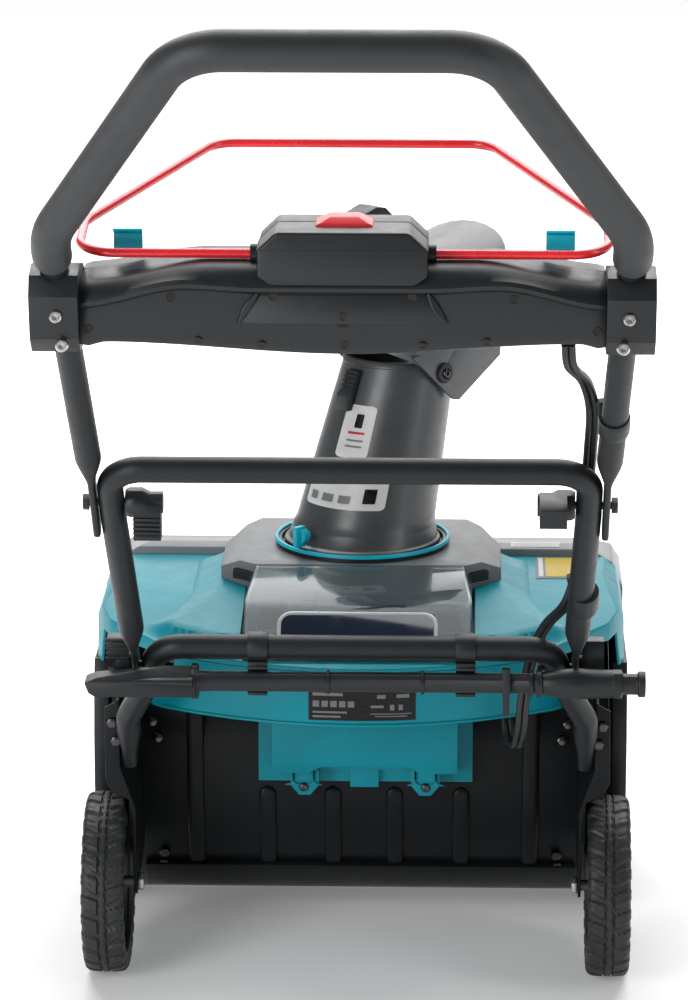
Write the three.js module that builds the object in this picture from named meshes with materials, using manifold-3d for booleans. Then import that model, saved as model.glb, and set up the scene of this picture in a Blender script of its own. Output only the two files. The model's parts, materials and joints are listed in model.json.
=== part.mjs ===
// Battery-powered single-stage snow blower, as an assembly of separate pieces.
// Millimetres, +X to the operator's right, +Y forward (away from the operator), +Z up.
// Places are first given from the wheel axle (Y = 0 under the axle, Z = 0 on the ground);
// at the end the whole group is shifted so that X = Y = 0 lies in the middle of its box.
import * as THREE from 'three';
import { mergeVertices } from 'three/addons/utils/BufferGeometryUtils.js';
import Module from 'manifold-3d';

const wasm = await Module();
wasm.setup();

// ---------- driving dimensions ----------
const GAP = 0.3;                    // between pieces that touch
const SHEET = 3;                    // wall of shells and plates
const WHEEL_RADIUS = 95;
const WHEEL_WIDTH = 44;
const WHEEL_X = 262;
const CLEAR_HALF = 265;             // half of the 530 mm clearing width
const OUTER_HALF = 284;             // half of the width over the side covers
const AUGER_Y = 260;
const AUGER_Z = 165;
const AUGER_TIP = 140;              // radius swept by the paddles
const DRUM_RADIUS = 155;            // outside of the drum's curved back
const BACK_Y = 105;                 // outside of the drum's back wall
const HOUSING_TOP = 315;
const MOUTH_Y = 428;                // front edge of the auger housing
const BAND_Y = 290.4;               // where the grey front band begins
const SKIRT_BOTTOM = 285;
const SKIRT_TOP = 343;
const CHUTE_Y = 207;                // centre of the chute ring
const HUB_TOP = 412;
const NECK_RADIUS = 81;
const RING_RADIUS = 94;
const CHUTE_YAW = -45;              // degrees, chute turned to the operator's right
const CHUTE_LEAN = 0.3;             // forward offset per height along the chute
const CHUTE_BASE = 412.6;
const PIVOT_Z = 601;                // deflector hinge
const CHUTE_RIM = 613;
const TUBE_RADIUS = 12.7;           // 1 inch handle tube
const TUBE_SIDES = 10;
const HANDLE_SLOPE = 47.3;          // degrees above the horizontal, leaning back
const LOWER_JOINT = { y: -95, z: 361 };
const UPPER_JOINT = { y: -300, z: 583 };
const LEG_X = 229;                  // middle frame leg
const GRIP_RADIUS = 18;
const LOOP_TOP = 690;               // along the handle from the upper joint
const BAIL_PIVOT = { y: -530, z: 872 };
const BAIL_REST = 9;                // degrees above the horizontal, leaning forward
const BAIL_RADIUS = 4.3;
const DASH_HALF = 234.8;
const TOOL_Y = -130;
const TOOL_Z = 354;
const BELT_X = -273;                // middle plane of the belt drive
const MOTOR_Y = 160;
const MOTOR_Z = 340;
const AUGER_BELT_RADIUS = 50;       // inner face of the belt on the auger's pulley
const MOTOR_BELT_RADIUS = 7.2;      // and on the motor's

const radians = THREE.MathUtils.degToRad;
const ALONG = new THREE.Vector3(0, -Math.cos(radians(HANDLE_SLOPE)), Math.sin(radians(HANDLE_SLOPE)));
const PIVOT_OFFSET = CHUTE_LEAN * (PIVOT_Z - 424);

// ---------- colours ----------
const COLOURS = {
  teal: [0x0093a8, 0.35, 0], cyan: [0x00a6c0, 0.4, 0], red: [0xe33338, 0.35, 0],
  black: [0x1d2023, 0.5, 0], tube: [0x2b3034, 0.4, 0.2], foam: [0x2a2e32, 0.85, 0],
  grey: [0x6f7377, 0.4, 0], chute: [0x34383c, 0.3, 0.3], steel: [0x9aa0a5, 0.35, 0.9],
  rubber: [0x17191b, 0.85, 0], clear: [0xc9d6dc, 0.08, 0], navy: [0x101a33, 0.45, 0],
};

function material(name) {
  const [color, roughness, metalness] = COLOURS[name];
  const made = new THREE.MeshStandardMaterial({ color, roughness, metalness });
  if (name === 'clear') {
    made.transparent = true;
    made.opacity = 0.45;
  }
  return made;
}

// ---------- solids ----------
function solid(geometry) {
  const bare = geometry.clone();
  bare.deleteAttribute('normal');
  bare.deleteAttribute('uv');
  const merged = mergeVertices(bare, 1e-4);
  return new wasm.Manifold(new wasm.Mesh({
    numProp: 3,
    vertProperties: new Float32Array(merged.attributes.position.array),
    triVerts: new Uint32Array(merged.index.array),
  }));
}

function geometryOf(body) {
  const mesh = body.getMesh();
  const geometry = new THREE.BufferGeometry();
  geometry.setAttribute('position', new THREE.BufferAttribute(new Float32Array(mesh.vertProperties), 3));
  geometry.setIndex(new THREE.BufferAttribute(new Uint32Array(mesh.triVerts), 1));
  return geometry;
}

function join(...bodies) {
  return bodies.reduce((sum, body) => sum.add(body));
}

function outline(points) {
  return new THREE.Shape(points.map(([a, b]) => new THREE.Vector2(a, b)));
}

function arc(centreA, centreB, radius, from, to, steps) {
  const points = [];
  for (let i = 0; i <= steps; i += 1) {
    const angle = radians(from + ((to - from) * i) / steps);
    points.push([centreA + radius * Math.cos(angle), centreB + radius * Math.sin(angle)]);
  }
  return points;
}

// an outline of (y, z) points carried along X
function prismX(points, x0, x1) {
  const geometry = new THREE.ExtrudeGeometry(outline(points), { depth: x1 - x0, bevelEnabled: false });
  const turn = new THREE.Matrix4().set(0, 0, 1, x0, 1, 0, 0, 0, 0, 1, 0, 0, 0, 0, 0, 1);
  return solid(geometry.applyMatrix4(turn));
}

// an outline of (x, z) points carried along Y
function prismY(points, y0, y1) {
  const geometry = new THREE.ExtrudeGeometry(outline(points), { depth: y1 - y0, bevelEnabled: false });
  const turn = new THREE.Matrix4().set(1, 0, 0, 0, 0, 0, -1, y1, 0, 1, 0, 0, 0, 0, 0, 1);
  return solid(geometry.applyMatrix4(turn));
}

// an outline of (x, y) points carried along Z
function prismZ(points, z0, z1) {
  const geometry = new THREE.ExtrudeGeometry(outline(points), { depth: z1 - z0, bevelEnabled: false });
  return solid(geometry.translate(0, 0, z0));
}

function box(x0, x1, y0, y1, z0, z1) {
  const geometry = new THREE.BoxGeometry(x1 - x0, y1 - y0, z1 - z0);
  return solid(geometry.translate((x0 + x1) / 2, (y0 + y1) / 2, (z0 + z1) / 2));
}

// a turned piece: profile of (radius, height) points, its axis then laid along X, Y or Z
function turned(profile, segments, axis, x, y, z) {
  const geometry = new THREE.LatheGeometry(profile.map(([r, h]) => new THREE.Vector2(r, h)), segments);
  if (axis === 'x') geometry.rotateZ(-Math.PI / 2);
  if (axis === 'z') geometry.rotateX(Math.PI / 2);
  return solid(geometry.translate(x, y, z));
}

function rod(radius, length, segments, axis, x, y, z) {
  return turned([[0, -length / 2], [radius, -length / 2], [radius, length / 2], [0, length / 2]],
    segments, axis, x, y, z);
}

function ring(inner, outer, length, segments, axis, x, y, z) {
  const half = length / 2;
  return turned([[inner, -half], [outer, -half], [outer, half], [inner, half], [inner, -half]],
    segments, axis, x, y, z);
}

// a path through given stations, one ring of a swept tube at each
class StationPath extends THREE.Curve {
  constructor(stations) {
    super();
    this.stations = stations;
  }

  getPoint(t, target = new THREE.Vector3()) {
    const place = t * (this.stations.length - 1);
    const index = Math.min(Math.floor(place + 1e-6), this.stations.length - 2);
    return target.copy(this.stations[index]).lerp(this.stations[index + 1], place - index);
  }

  getPointAt(t, target) {
    return this.getPoint(t, target);
  }

  getTangent(t, target = new THREE.Vector3()) {
    const last = this.stations.length - 1;
    const index = Math.round(t * last);
    const before = this.stations[Math.max(index - 1, 0)];
    const after = this.stations[Math.min(index + 1, last)];
    const here = this.stations[index];
    const ahead = after.clone().sub(here).normalize();
    const behind = here.clone().sub(before).normalize();
    return target.copy(ahead).add(behind).normalize();
  }

  getTangentAt(t, target) {
    return this.getTangent(t, target);
  }
}

// corners as [point, bend radius]; a bend is stepped every 15 degrees or so
function bentPath(corners) {
  const stations = [];
  corners.forEach(([corner, radius], i) => {
    if (i === 0 || i === corners.length - 1 || !radius) {
      stations.push(corner.clone());
      return;
    }
    const toBefore = corners[i - 1][0].clone().sub(corner).normalize();
    const toAfter = corners[i + 1][0].clone().sub(corner).normalize();
    const half = toBefore.angleTo(toAfter) / 2;
    const centre = corner.clone().add(
      toBefore.clone().add(toAfter).normalize().multiplyScalar(radius / Math.sin(half)));
    const start = corner.clone().addScaledVector(toBefore, radius / Math.tan(half)).sub(centre);
    const sweep = Math.PI - 2 * half;
    const steps = Math.max(2, Math.ceil(sweep / radians(16)));
    const axis = toBefore.clone().cross(toAfter).normalize().negate();
    for (let step = 0; step <= steps; step += 1) {
      stations.push(start.clone().applyAxisAngle(axis, (sweep * step) / steps).add(centre));
    }
  });
  return new StationPath(stations);
}

function tube(path, radius, sides) {
  const circle = new THREE.EllipseCurve(0, 0, radius, radius).getPoints(sides).slice(0, sides);
  const section = new THREE.Shape(circle);
  const steps = path.stations.length - 1;
  return solid(new THREE.ExtrudeGeometry(section, { steps, extrudePath: path, curveSegments: 1 }));
}

// a closed form through rows of points; each row is a convex section
function skinned(rows) {
  const count = rows[0].length;
  const faces = [];
  for (let row = 0; row < rows.length - 1; row += 1) {
    for (let i = 0; i < count; i += 1) {
      const a = row * count + i;
      const b = row * count + ((i + 1) % count);
      faces.push(a, b + count, b, a, a + count, b + count);
    }
  }
  const top = (rows.length - 1) * count;
  for (let i = 1; i < count - 1; i += 1) {
    faces.push(0, i, i + 1, top, top + i + 1, top + i);
  }
  const geometry = new THREE.BufferGeometry();
  geometry.setAttribute('position', new THREE.Float32BufferAttribute(rows.flat(2), 3));
  geometry.setIndex(faces);
  return solid(geometry);
}

// a solid form through round sections given as [y, z, radius]
function loft(sections, sides) {
  const positions = [];
  const faces = [];
  sections.forEach(([y, z, radius]) => {
    for (let i = 0; i < sides; i += 1) {
      const angle = (2 * Math.PI * i) / sides;
      positions.push(radius * Math.cos(angle), y + radius * Math.sin(angle), z);
    }
  });
  const top = (sections.length - 1) * sides;
  for (let row = 0; row < sections.length - 1; row += 1) {
    for (let i = 0; i < sides; i += 1) {
      const next = (i + 1) % sides;
      const a = row * sides + i;
      const b = row * sides + next;
      faces.push(a, b, b + sides, a, b + sides, a + sides);
    }
  }
  for (let i = 1; i < sides - 1; i += 1) {
    faces.push(0, i + 1, i, top, top + i, top + i + 1);
  }
  const geometry = new THREE.BufferGeometry();
  geometry.setAttribute('position', new THREE.Float32BufferAttribute(positions, 3));
  geometry.setIndex(faces);
  return solid(geometry);
}

const machine = new THREE.Group();

function add(name, body, colour, parent = machine) {
  const mesh = new THREE.Mesh(geometryOf(body), material(colour));
  mesh.name = name;
  parent.add(mesh);
}

const mirrored = (points) => points.concat(points.map(([x, z]) => [-x, z]).reverse());
const SIDES = [['left', -1], ['right', 1]];

// ---------- auger housing ----------
function drumArc(radius, from, to, steps) {
  return arc(AUGER_Y, AUGER_Z, radius, from, to, steps);
}

function housing() {
  const outer = [[MOUTH_Y, HOUSING_TOP], ...arc(205, HOUSING_TOP - 100, 100, 90, 180, 4),
    ...drumArc(DRUM_RADIUS, 180, 270, 9), [272, 10]];
  const inner = [[272, 13], ...drumArc(DRUM_RADIUS - SHEET, 270, 180, 9),
    ...arc(205, HOUSING_TOP - 100, 97, 180, 90, 4), [MOUTH_Y, HOUSING_TOP - SHEET]];
  const chuteHole = rod(NECK_RADIUS + 1.5, 60, 24, 'z', 0, CHUTE_Y, HOUSING_TOP);
  const drum = prismX([...outer, ...inner], -CLEAR_HALF + GAP, CLEAR_HALF - GAP);
  add('drum_shell', drum.subtract(chuteHole), 'black');

  const wall = [[MOUTH_Y, HOUSING_TOP], ...arc(205, HOUSING_TOP - 100, 100, 90, 180, 4),
    ...drumArc(DRUM_RADIUS + 1, 180, 262, 8), [300, 8], [418, 8], [MOUTH_Y + 4, 60], [MOUTH_Y + 4, 180]];
  const cover = [[MOUTH_Y + 2, 303], [122, 303], [110, 270], [103, 225],
    ...drumArc(DRUM_RADIUS + 2, 180, 262, 8), [300, 6], [420, 6], [MOUTH_Y + 6, 60], [MOUTH_Y + 6, 180]];
  const coverInside = [[MOUTH_Y - 2, 299], [126, 299], [114, 270], [107, 225],
    ...drumArc(DRUM_RADIUS - 2, 180, 262, 8), [300, 10], [417, 10], [MOUTH_Y + 2, 62],
      [MOUTH_Y + 2, 180]];
  const shaftHole = rod(11, 40, 14, 'x', 0, AUGER_Y, AUGER_Z);
  const bearing = ring(11, 24, 12, 14, 'x', 0, AUGER_Y, AUGER_Z);
  for (const [side, sign] of SIDES) {
    const wallX = sign * (CLEAR_HALF + SHEET / 2);
    const plate = prismX(wall, wallX - SHEET / 2, wallX + SHEET / 2)
      .subtract(shaftHole.translate([wallX, 0, 0]))
      .add(bearing.translate([sign * (CLEAR_HALF - 4), 0, 0]));
    add(`side_wall_${side}`, plate, 'black');

    const nearX = CLEAR_HALF + SHEET + GAP;
    const [fromX, toX] = [sign * nearX, sign * OUTER_HALF].sort((a, b) => a - b);
    const shell = prismX(cover, fromX, toX);
    const deepX = OUTER_HALF - 2.5;
    const hollow = prismX(coverInside, Math.min(sign * (nearX - 5), sign * deepX),
      Math.max(sign * (nearX - 5), sign * deepX));
    const beltSlot = box(-deepX, -nearX + 5, 128, 262, 290, 330);
    add(`side_cover_${side}`, shell.subtract(hollow).subtract(beltSlot), 'black');
  }

  const blade = [[262, 0], [300, 0], [306, 3], [306, 7.6], [262, 7.6]];
  add('scraper_blade', prismX(blade, -CLEAR_HALF + 1, CLEAR_HALF - 1), 'steel');
  const bar = [...drumArc(DRUM_RADIUS + GAP, 216, 232, 3), ...drumArc(DRUM_RADIUS + 7, 232, 216, 3)];
  add('rear_bar', prismX(bar, -232, 232), 'black');
}

// ---------- drive ----------
function pulley(groove, bore, segments) {
  const half = 3.4;
  const channel = 2.7;
  const flange = groove + 2.6;
  return turned([[bore, -half], [flange, -half], [flange, -channel], [groove, -channel],
    [groove, channel],
    [flange, channel], [flange, half], [bore, half], [bore, -half]], segments, 'x', BELT_X, 0, 0);
}

function drive() {
  const canProfile = [[0, -40], [18, -40], [21.5, -36], [21.5, 36], [18, 40], [0, 40]];
  const can = turned(canProfile, 20, 'x', -195, MOTOR_Y, MOTOR_Z);
  const frontPlate = box(-238, -234.5, MOTOR_Y - 24, MOTOR_Y + 24, HOUSING_TOP + GAP, MOTOR_Z + 24);
  add('motor', join(can, frontPlate), 'black');
  const spindle = rod(4, 38, 10, 'x', -257.4, MOTOR_Y, MOTOR_Z);
  const smallPulley = pulley(MOTOR_BELT_RADIUS - 0.4, 3.5, 16).translate([0, MOTOR_Y, MOTOR_Z]);
  add('motor_pulley', smallPulley.add(spindle), 'steel');
  const big = AUGER_BELT_RADIUS;
  const small = MOTOR_BELT_RADIUS;
  const span = new THREE.Vector2(MOTOR_Y - AUGER_Y, MOTOR_Z - AUGER_Z);
  const heading = THREE.MathUtils.radToDeg(Math.atan2(span.y, span.x));
  const lean = THREE.MathUtils.radToDeg(Math.acos((big - small) / span.length()));
  const loopOf = (extra) => [
    ...arc(AUGER_Y, AUGER_Z, big + extra, heading + lean, heading + 360 - lean, 14),
    ...arc(MOTOR_Y, MOTOR_Z, small + extra, heading - lean, heading + lean, 6)];
  const beltHole = prismX(loopOf(0), BELT_X - 5, BELT_X + 5);
  const belt = prismX(loopOf(3.2), BELT_X - 2.2, BELT_X + 2.2).subtract(beltHole);
  add('drive_belt', belt, 'rubber');
  add('controller', box(156, 240, 140, 215, 326, 352), 'black');
}

// ---------- auger ----------
function paddle() {
  const geometry = new THREE.BoxGeometry(1, 1, 1, 22, 1, 3);
  const place = geometry.attributes.position;
  const inner = 24;
  for (let i = 0; i < place.count; i += 1) {
    const along = place.getX(i);
    const radius = inner + (AUGER_TIP - inner) * (place.getZ(i) + 0.5);
    const twist = radians(78 * Math.abs(along) * 2 - 39);
    const across = -place.getY(i) * 9;
    const x = along * 2 * 250;
    place.setXYZ(i, x, radius * Math.cos(twist) - across * Math.sin(twist),
      radius * Math.sin(twist) + across * Math.cos(twist));
  }
  return solid(geometry);
}

function auger() {
  const at = (body) => body.translate([0, AUGER_Y, AUGER_Z]);
  const shaft = rod(10, 548, 14, 'x', -5, 0, 0);
  const core = rod(20, 500, 14, 'x', 0, 0, 0);
  add('auger_shaft', at(shaft.add(core)), 'steel');
  add('auger_paddle_a', at(paddle().subtract(rod(20.5, 520, 20, 'x', 0, 0, 0))), 'rubber');
  const paddleB = paddle().rotate([180, 0, 0]).subtract(rod(20.5, 520, 20, 'x', 0, 0, 0));
  add('auger_paddle_b', at(paddleB), 'rubber');
  add('auger_pulley', at(pulley(AUGER_BELT_RADIUS - 0.4, 10.4, 24)), 'steel');
}

// ---------- wheels ----------
function wheels() {
  const half = WHEEL_WIDTH / 2;
  const tread = [[72, -17], [88, -half], [92, -half + 3], [94, -4], [WHEEL_RADIUS, 0], [94, 4],
    [92, half - 3], [88, half], [72, 17], [72, -17]];
  const rim = [[6.6, -14], [16, -14], [16, -5], [60, -5], [66, -15], [71.6, -15], [71.6, 15],
    [66, 15], [60, 5],
    [16, 5], [16, 14], [6.6, 14], [6.6, -14]];
  const spokeCount = 5;
  const spokeReach = 38;
  for (const [side, sign] of SIDES) {
    const x = sign * WHEEL_X;
    add(`tyre_${side}`, turned(tread, 32, 'x', x, 0, WHEEL_RADIUS), 'rubber');
    let hub = turned(rim, 24, 'x', x, 0, WHEEL_RADIUS);
    for (let i = 0; i < spokeCount; i += 1) {
      const angle = (2 * Math.PI * i) / spokeCount;
      hub = hub.subtract(rod(13, 40, 8, 'x', x, spokeReach * Math.cos(angle),
        WHEEL_RADIUS + spokeReach * Math.sin(angle)));
    }
    add(`wheel_hub_${side}`, hub, 'black');
    const bolt = rod(6, 50, 12, 'x', sign * 254, 0, WHEEL_RADIUS)
      .add(rod(11, 6, 6, 'x', sign * 282, 0, WHEEL_RADIUS))
      .add(rod(10, 6, 6, 'x', sign * 227.5, 0, WHEEL_RADIUS));
    add(`axle_bolt_${side}`, bolt, 'steel');
  }
}

function wheelBrackets() {
  for (const [side, sign] of SIDES) {
    const joggle = [[231, 80], [234, 80], [234, 181], [250, 227], [250, 300], [247, 300], [247, 228],
      [231, 182]];
    const outlineSide = [...arc(0, WHEEL_RADIUS, 13, 180, 300, 6), [104.4, 105], [104.4, 235],
      [70, 300], [-22, 300],
      [-22, 150]];
    const lip = [[231, 150], [238, 150], [238, 192], [256, 200], [262, 214], [262, 292], [247, 300],
      [247, 228],
      [231, 182]];
    const plate = prismY(joggle, -24, 104.4).intersect(prismX(outlineSide, 200, 300));
    let bracket = plate.add(prismY(lip, -22, -19));
    bracket = bracket.subtract(rod(6.4, 30, 12, 'x', 236, 0, WHEEL_RADIUS));
    bracket = sign > 0 ? bracket : bracket.mirror([1, 0, 0]);
    add(`wheel_bracket_${side}`, bracket, 'black');
  }
}

// ---------- teal body ----------
// the body's outline seen from above, bulging to the rear in the middle
function plan(inset, frontY) {
  const bulge = 205;
  const rear = [];
  for (let i = -5; i <= 5; i += 1) {
    rear.push([((bulge - inset) * i) / 5, -62 + 65 * (i / 5) ** 2 + inset]);
  }
  const edge = OUTER_HALF - 3 - inset;
  const corner = 262 - inset * 0.8;
  const cornerY = 66 + inset * 0.4;
  return [[-edge, frontY], [-edge, 130], [-corner, cornerY], ...rear, [corner, cornerY], [edge, 130],
    [edge, frontY]].reverse();
}

function roofAcross(inset) {
  return mirrored([[OUTER_HALF - 3 - inset, 270], [OUTER_HALF - 4.5 - inset, 352],
    [275 - inset, 364 - inset], [256 - inset * 0.5, 380 - inset], [228, 390 - inset], [0, 400 - inset]]);
}

function roofAlong(inset, frontY, drop) {
  return [[-80, SKIRT_TOP + GAP - drop], [-80, 346 - inset], [-40, 349 - inset], [60, 362 - inset],
    [150, 374 - inset], [205, 378 - inset], [frontY, 374.5 - inset], [frontY, 303.3 - drop],
    [112, 303.3 - drop], [98, SKIRT_TOP + GAP - drop]];
}

function body() {
  const form = (inset, frontY, drop) => prismX(roofAlong(inset, frontY, drop), -300, 300)
    .intersect(prismY(roofAcross(inset), -90, 320))
    .intersect(prismZ(plan(inset, frontY), 260, 420));
  const bayHole = box(-106, 106, -38, 104, 300, 420);
  const neckHole = rod(NECK_RADIUS + 1.5, 200, 24, 'z', 0, CHUTE_Y, 360);
  const shroud = form(0, BAND_Y - 0.4, 0).subtract(form(SHEET, BAND_Y + 20, 20));
  add('top_shroud', shroud.subtract(bayHole).subtract(neckHole), 'teal');

  const skirtInside = prismZ(plan(SHEET, 310), 270, 360);
  const skirtRing = prismZ(plan(0, 290), SKIRT_BOTTOM, SKIRT_TOP).subtract(skirtInside);
  add('rear_skirt', skirtRing.intersect(box(-216, 216, -80, 30, 270, 360)), 'teal');

  const roofLine = (inset, frontY, low) => [[300, 387 - inset], [330, 385 - inset],
    [390 - inset / 2, 362 - inset], [frontY, 334 - inset], [frontY, low]];
  const outerAlong = [[BAND_Y, 303.6], [BAND_Y, 382], ...roofLine(0, MOUTH_Y + 2, 303.6)];
  // hollow, with a low wall along its rear edge where it meets the teal cover
  const innerAlong = [[BAND_Y - 13, 290], [BAND_Y - 13, 352], [BAND_Y + SHEET, 352],
    [BAND_Y + SHEET, 382 - SHEET], ...roofLine(SHEET, MOUTH_Y - 1, 290)];
  const across = (inset, low) => mirrored([[OUTER_HALF - inset, low], [OUTER_HALF - inset, 340],
    [272 - inset, 368], [245 - inset, 384 - inset], [215, 392 - inset], [0, 395 - inset]]);
  const outer = prismX(outerAlong, -300, 300).intersect(prismY(across(0, 303.6), 270, 450));
  const inner = prismX(innerAlong, -300, 300).intersect(prismY(across(SHEET, 290), 260, 460));
  const mouth = box(-CLEAR_HALF - 4, CLEAR_HALF + 4, 270, 450, 290, HOUSING_TOP + GAP);
  add('front_band', outer.subtract(inner).subtract(mouth), 'grey');
}

function hubCover() {
  const planOf = (inset) => mirrored([[112 - inset, 110 + inset], [149 - inset, 142], [149 - inset, 236],
    [112 - inset, 308 - inset]]);
  const sideOf = (inset, low) => [[105, 373.5 - low], [150, 375 - low], [205, 379 - low],
    [289.6, 376 - low], [289.6, 388 - low], [312, 388 - low], [312, HUB_TOP - inset - 5],
    [306, HUB_TOP - inset],
    [105, HUB_TOP - inset]];
  const across = (inset) => mirrored([[149 - inset, 360], [149 - inset, 401 - inset],
    [128 - inset, HUB_TOP - inset]]);
  const block = (inset, low) => prismX(sideOf(inset, low), -160, 160)
    .intersect(prismZ(planOf(inset), 300, 430))
    .intersect(prismY(across(inset), 90, 320));
  const neck = rod(NECK_RADIUS, HUB_TOP - 308, 24, 'z', 0, CHUTE_Y, (HUB_TOP + 308) / 2);
  const bore = rod(NECK_RADIUS - SHEET, 220, 24, 'z', 0, CHUTE_Y, 380);
  const lidRelief = box(-125, 125, 90, 108.5, 370, 430);
  const cover = block(0, 0).subtract(block(SHEET, 20)).add(neck);
  add('hub_cover', cover.subtract(bore).subtract(lidRelief), 'grey');
  const ringZ = HUB_TOP + GAP + 4;
  add('chute_ring', ring(NECK_RADIUS + 3.5, RING_RADIUS, 8, 32, 'z', 0, CHUTE_Y, ringZ), 'cyan');
}

function batteryBay() {
  const tray = box(-104, 104, -36, 102, 300, 347).subtract(box(-101, 101, -33, 99, 303, 360));
  add('battery_bay', tray, 'teal');
  add('battery', box(-46, 46, 4, 96, 322, 384).add(box(-34, 34, 10, 90, 312, 330)), 'navy');

  const lidOuter = [[-46, 351], [4, 392], [106, HUB_TOP], [108, HUB_TOP], [108, 374.8], [60, 363.2],
    [-40, 350]];
  const lidInner = [[-43, 340], [-43, 350], [5, 388.6], [106, 408.8], [120, 408.8], [120, 340]];
  const top = mirrored([[118, 340], [118, 396], [108, HUB_TOP + 2]]);
  const topIn = mirrored([[115.5, 330], [115.5, 394.8], [106.4, HUB_TOP - 1]]);
  const lid = prismX(lidOuter, -130, 130).intersect(prismY(top, -60, 120))
    .subtract(prismX(lidInner, -130, 130).intersect(prismY(topIn, -60, 120)));
  add('battery_lid', lid, 'clear');
}

function rearCover() {
  const base = box(-108, 120, 98, BACK_Y - GAP, 176, 245);
  const block = prismX([[98.1, 190], [62, 196], [56, 210], [60, 262], [98.1, 262]], -92, 104);
  const arch = prismY(mirrored([[60, 150], [60, 196], [46, 204]]).map(([x, z]) => [x + 6, z]), 40, 90);
  const lugEnd = mirrored([[6, 168], [15, 179], [15, 196]]);
  const lugs = [-58, 70].map((x) => prismY(lugEnd.map(([dx, z]) => [x + dx, z]), 74, BACK_Y - GAP));
  const tab = box(-10, 20, 90, BACK_Y - GAP, 172, 196);
  add('rear_cover', join(base, block.subtract(arch), ...lugs, tab), 'teal');
}

// ---------- frames ----------
const point = (x, y, z) => new THREE.Vector3(x, y, z);

function mirrorPath(corners) {
  const other = corners.map(([p, radius]) => [point(-p.x, p.y, p.z), radius]).reverse();
  return corners.concat(other);
}

function alongHandle(x, distance, lift = 0) {
  const up = point(0, Math.sin(radians(HANDLE_SLOPE)), Math.cos(radians(HANDLE_SLOPE)));
  return point(x, UPPER_JOINT.y, UPPER_JOINT.z).addScaledVector(ALONG, distance).addScaledVector(up,
    lift);
}

// a flat eye at a tube's end: a plate with a round end about the joint
function eye(x0, x1, joint, reach, radius) {
  const end = point(0, joint.y, joint.z).addScaledVector(ALONG, reach);
  const side = point(0, ALONG.z, -ALONG.y).multiplyScalar(radius);
  const start = THREE.MathUtils.radToDeg(Math.atan2(side.z, side.y));
  const round = arc(joint.y, joint.z, radius, start, start - 180, 8);
  const shape = [...round, [end.y - side.y, end.z - side.z], [end.y + side.y, end.z + side.z]];
  return prismX(shape, Math.min(x0, x1), Math.max(x0, x1));
}

function boltHole(joint) {
  return rod(4.6, 620, 14, 'x', 0, joint.y, joint.z);
}

function frames() {
  const lower = tube(bentPath(mirrorPath([
    [point(-237, -4, 238), 0], [point(-236, -40, 288), 25], [point(-206, -86, 349), 40],
    [point(-203, -113, 385), 30]])), TUBE_RADIUS, TUBE_SIDES);
  const feet = SIDES.map(([, sign]) => {
    const near = sign * 229;
    const far = sign * 246.5;
    return prismX([[-18.6, 231], [14, 231], [14, 252], [-6, 268], [-18.6, 262]], Math.min(near, far),
      Math.max(near, far));
  });
  const between = box(-246.6, 246.6, -300, 300, 229, 600);
  add('lower_frame', join(lower, ...feet).intersect(between).subtract(boltHole(LOWER_JOINT)), 'tube');

  const reach = 40;
  const start = point(-223, LOWER_JOINT.y, LOWER_JOINT.z).addScaledVector(ALONG, reach);
  const mid = tube(bentPath(mirrorPath([[start, 0], [alongHandle(-LEG_X, -20), 200],
    [alongHandle(-LEG_X, 57), 32]])), TUBE_RADIUS, TUBE_SIDES);
  const eyes = SIDES.map(([, sign]) => eye(sign * 219.6, sign * 226.2, LOWER_JOINT, reach + 8, 13));
  const frame = join(mid, ...eyes).subtract(boltHole(LOWER_JOINT)).subtract(boltHole(UPPER_JOINT));
  add('middle_frame', frame, 'tube');
}

function upperHandle() {
  const path = bentPath(mirrorPath([[alongHandle(-249, 50), 0], [alongHandle(-258, 430), 90],
    [alongHandle(-131, LOOP_TOP), 60]]));
  const eyes = SIDES.map(([, sign]) => eye(sign * 242.4, sign * 249.4, UPPER_JOINT, 60, 13));
  const tail = SIDES.map(([, sign]) => eye(sign * 242.4, sign * 249.4,
    { y: UPPER_JOINT.y - ALONG.y * 42, z: UPPER_JOINT.z - ALONG.z * 42 }, 50, 11));
  const handle = join(tube(path, TUBE_RADIUS, TUBE_SIDES), ...eyes,
    ...tail).subtract(boltHole(UPPER_JOINT));
  add('upper_handle', handle, 'tube');

  const gripPath = bentPath(mirrorPath([[alongHandle(-257, 392), 0], [alongHandle(-258, 430), 90],
    [alongHandle(-131, LOOP_TOP), 60]]));
  const sleeve = tube(gripPath, GRIP_RADIUS, 12).subtract(tube(path, TUBE_RADIUS + GAP, TUBE_SIDES));
  add('foam_grip', sleeve, 'foam');
  return tube(path, TUBE_RADIUS + 0.5, TUBE_SIDES);
}

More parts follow.
